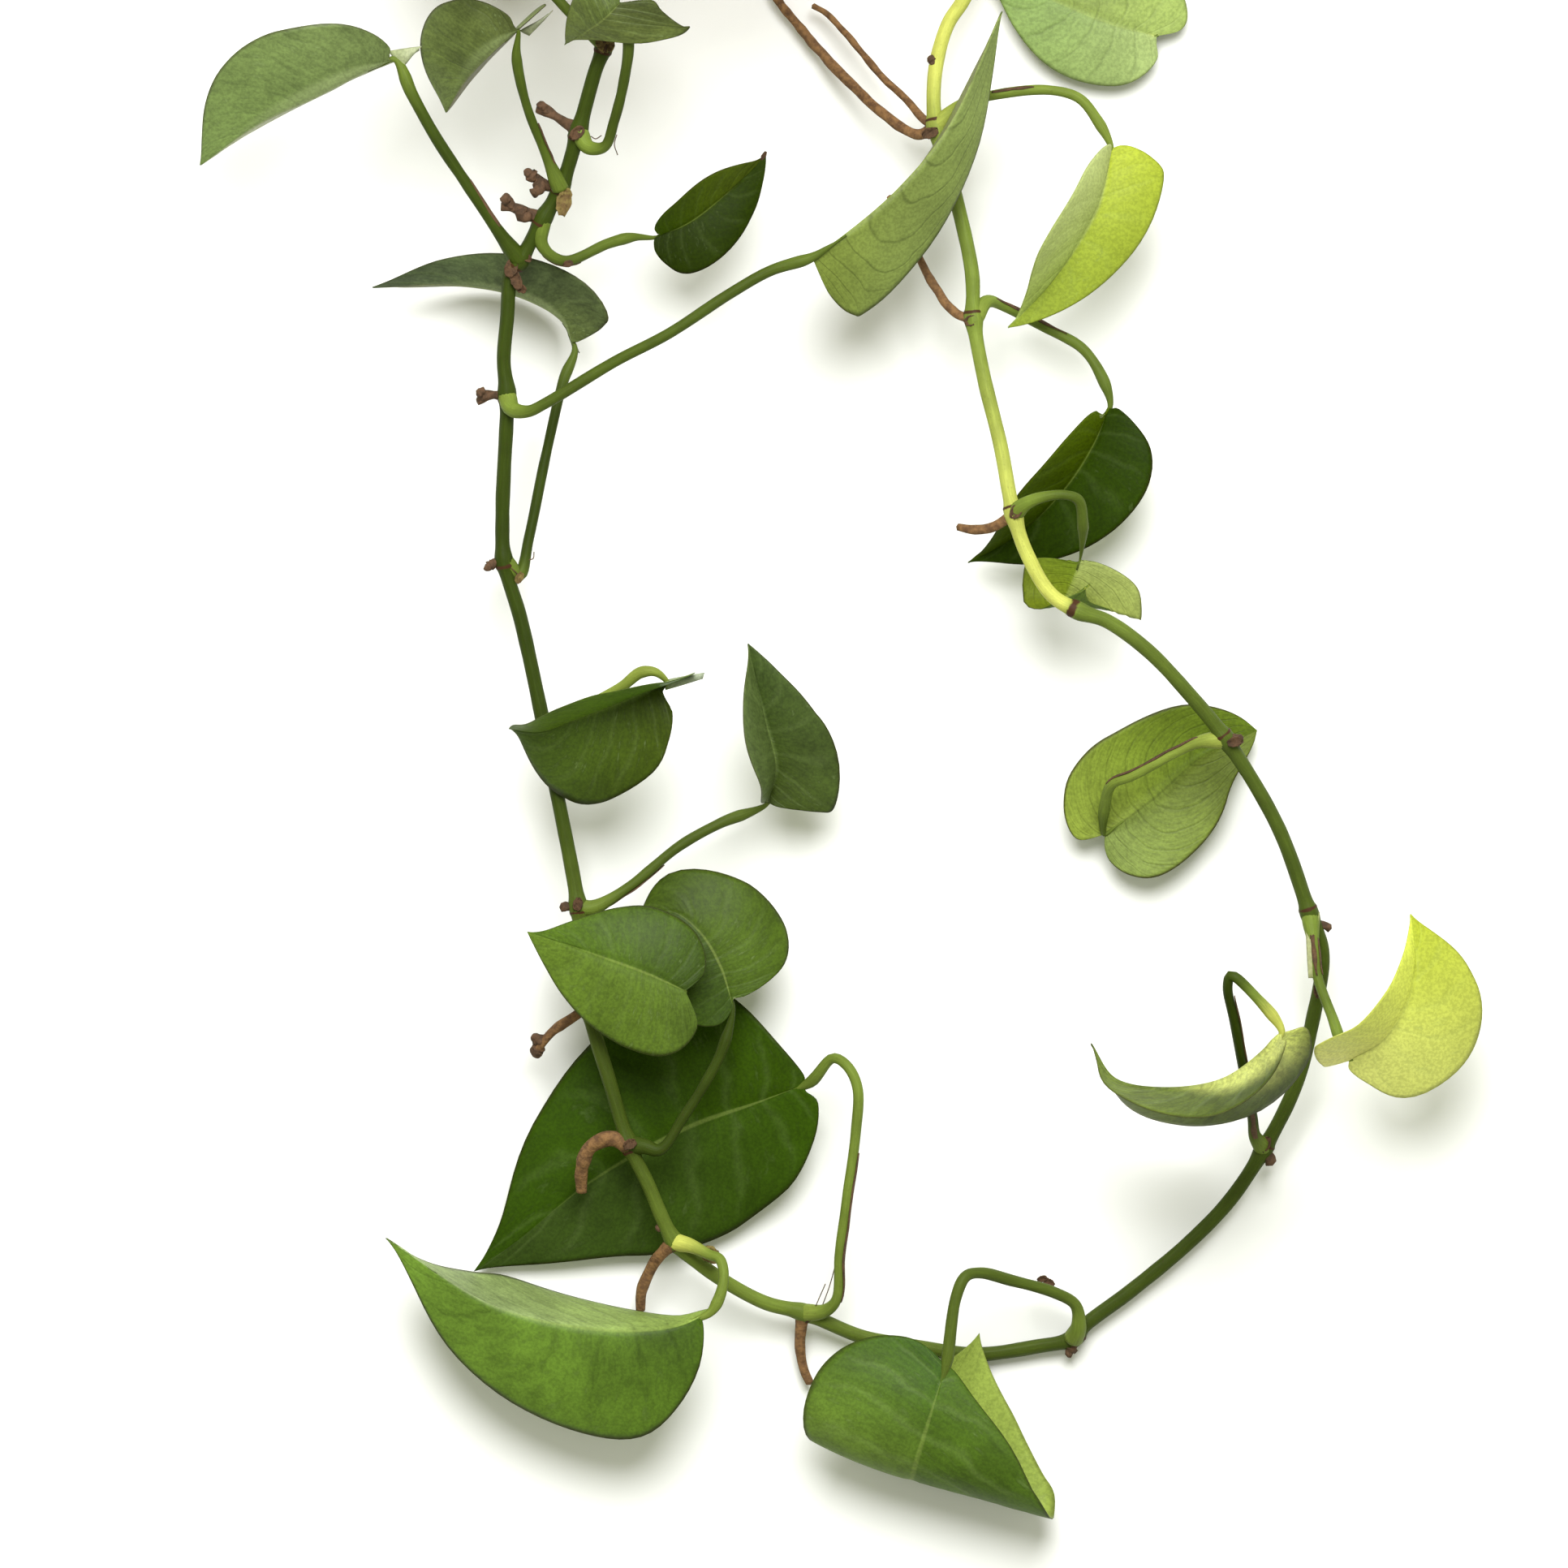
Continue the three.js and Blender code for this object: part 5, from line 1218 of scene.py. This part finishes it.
def crown_leaf(shoot, index, height, azimuth, reach, rise, length):
    """A crown leaf stands off its shoot, rises on its petiole and bends over to its tip."""
    name, path, _ = shoot
    spots, _ = curve_through(path, RIB_STATIONS * 4)
    joint = next(spot for spot in spots if spot[2] >= height)

    def at(out, lift):
        return joint + level(azimuth) * out + [0, 0, lift]
    half = [length * CROWN_HALF_WIDTH_SHARE, length * CROWN_LOBE_SHARE, CROWN_WIDEST,
            CROWN_FOLD_DEGREES, CROWN_FOLD_DEGREES, CROWN_CURL_DEGREES]
    return {
        "name": f"{name}_leaf_{index + 1}", "origin": POT_CENTRE, "look": CROWN_LOOKS[index % 2],
        "petiole": [joint, at(reach * 0.35, rise * 0.55), at(reach * 0.8, rise * 0.95)],
        "rib": [at(reach + length * out, rise + length * lift)
                for out, lift in ((0, 0), (0.33, 0.02), (0.66, -0.12), (0.92, -0.36))],
        "left": half, "right": half,
    }


for number, shoot in enumerate(SHOOTS):
    name, path, specs = shoot
    leaves = [crown_leaf(shoot, index, *spec) for index, spec in enumerate(specs)]
    joints = [leaf["petiole"][0] for leaf in leaves]
    points, faces, uvs, marks = stem_part(path, joints, lambda share: 0.1 + 0.4 * share,
                                         SHOOT_SIDES, SHOOT_STEPS)
    make_piece(name + "_skin", points, faces, "shoot", name, [STALK], uvs, marks)
    for index, leaf in enumerate(leaves):
        leaf_piece(leaf, "leaf_mid", SHOOT_LEAVES_START + number * 10 + index)

pot_piece()
soil_piece()


# Floor, light and camera

FLOOR_SIZE, FLOOR_HEIGHT = 40, -0.0005
WINDOW_PLACE, WINDOW_SIZE, WINDOW_POWER = (0.05, 0.95, 1.7), 1.3, 56
SKY_TONE, SKY_STRENGTH = (0.98, 1, 0.8, 1), 0.56
SENSOR_WIDTH, CLIP_END = 36, 100


def stage_floor():
    bpy.ops.mesh.primitive_plane_add(size=FLOOR_SIZE, location=(0, 0, FLOOR_HEIGHT))
    floor = bpy.context.object
    floor.name = "floor"
    sheet = Sheet("paper")
    grain = sheet.noise(sheet.place(), 30.0, 2.0)
    colour = sheet.blend(grain, (0.86, 0.86, 0.86, 1), (0.9, 0.9, 0.9, 1))
    floor.data.materials.append(sheet.finish(colour, 0.9))


def area_light(name, place, size, power):
    light = bpy.data.lights.new(name, "AREA")
    light.shape = "DISK"
    light.size = size
    light.energy = power
    lamp = bpy.data.objects.new(name, light)
    bpy.context.scene.collection.objects.link(lamp)
    lamp.location = place
    aim = VINE_MIDDLE - lamp.location
    lamp.rotation_euler = aim.to_track_quat("-Z", "Y").to_euler()


VINE_MIDDLE = Vector(VINE_CENTRE * MM)
stage_floor()
area_light("window", VINE_MIDDLE + Vector(WINDOW_PLACE), WINDOW_SIZE, WINDOW_POWER)
world = bpy.data.worlds.new("soft")
world.use_nodes = True
sky = world.node_tree.nodes["Background"]
sky.inputs["Color"].default_value = SKY_TONE
sky.inputs["Strength"].default_value = SKY_STRENGTH
bpy.context.scene.world = world
bpy.context.scene.view_settings.view_transform = "Standard"

camera = bpy.data.cameras.new("camera")
camera.sensor_width = SENSOR_WIDTH
camera.lens = camera.sensor_width * CAMERA_HEIGHT / VIEW_WIDTH
camera.clip_end = CLIP_END
viewer = bpy.data.objects.new("camera", camera)
bpy.context.scene.collection.objects.link(viewer)
viewer.location = VINE_MIDDLE + Vector((0, 0, CAMERA_HEIGHT))
bpy.context.scene.camera = viewer
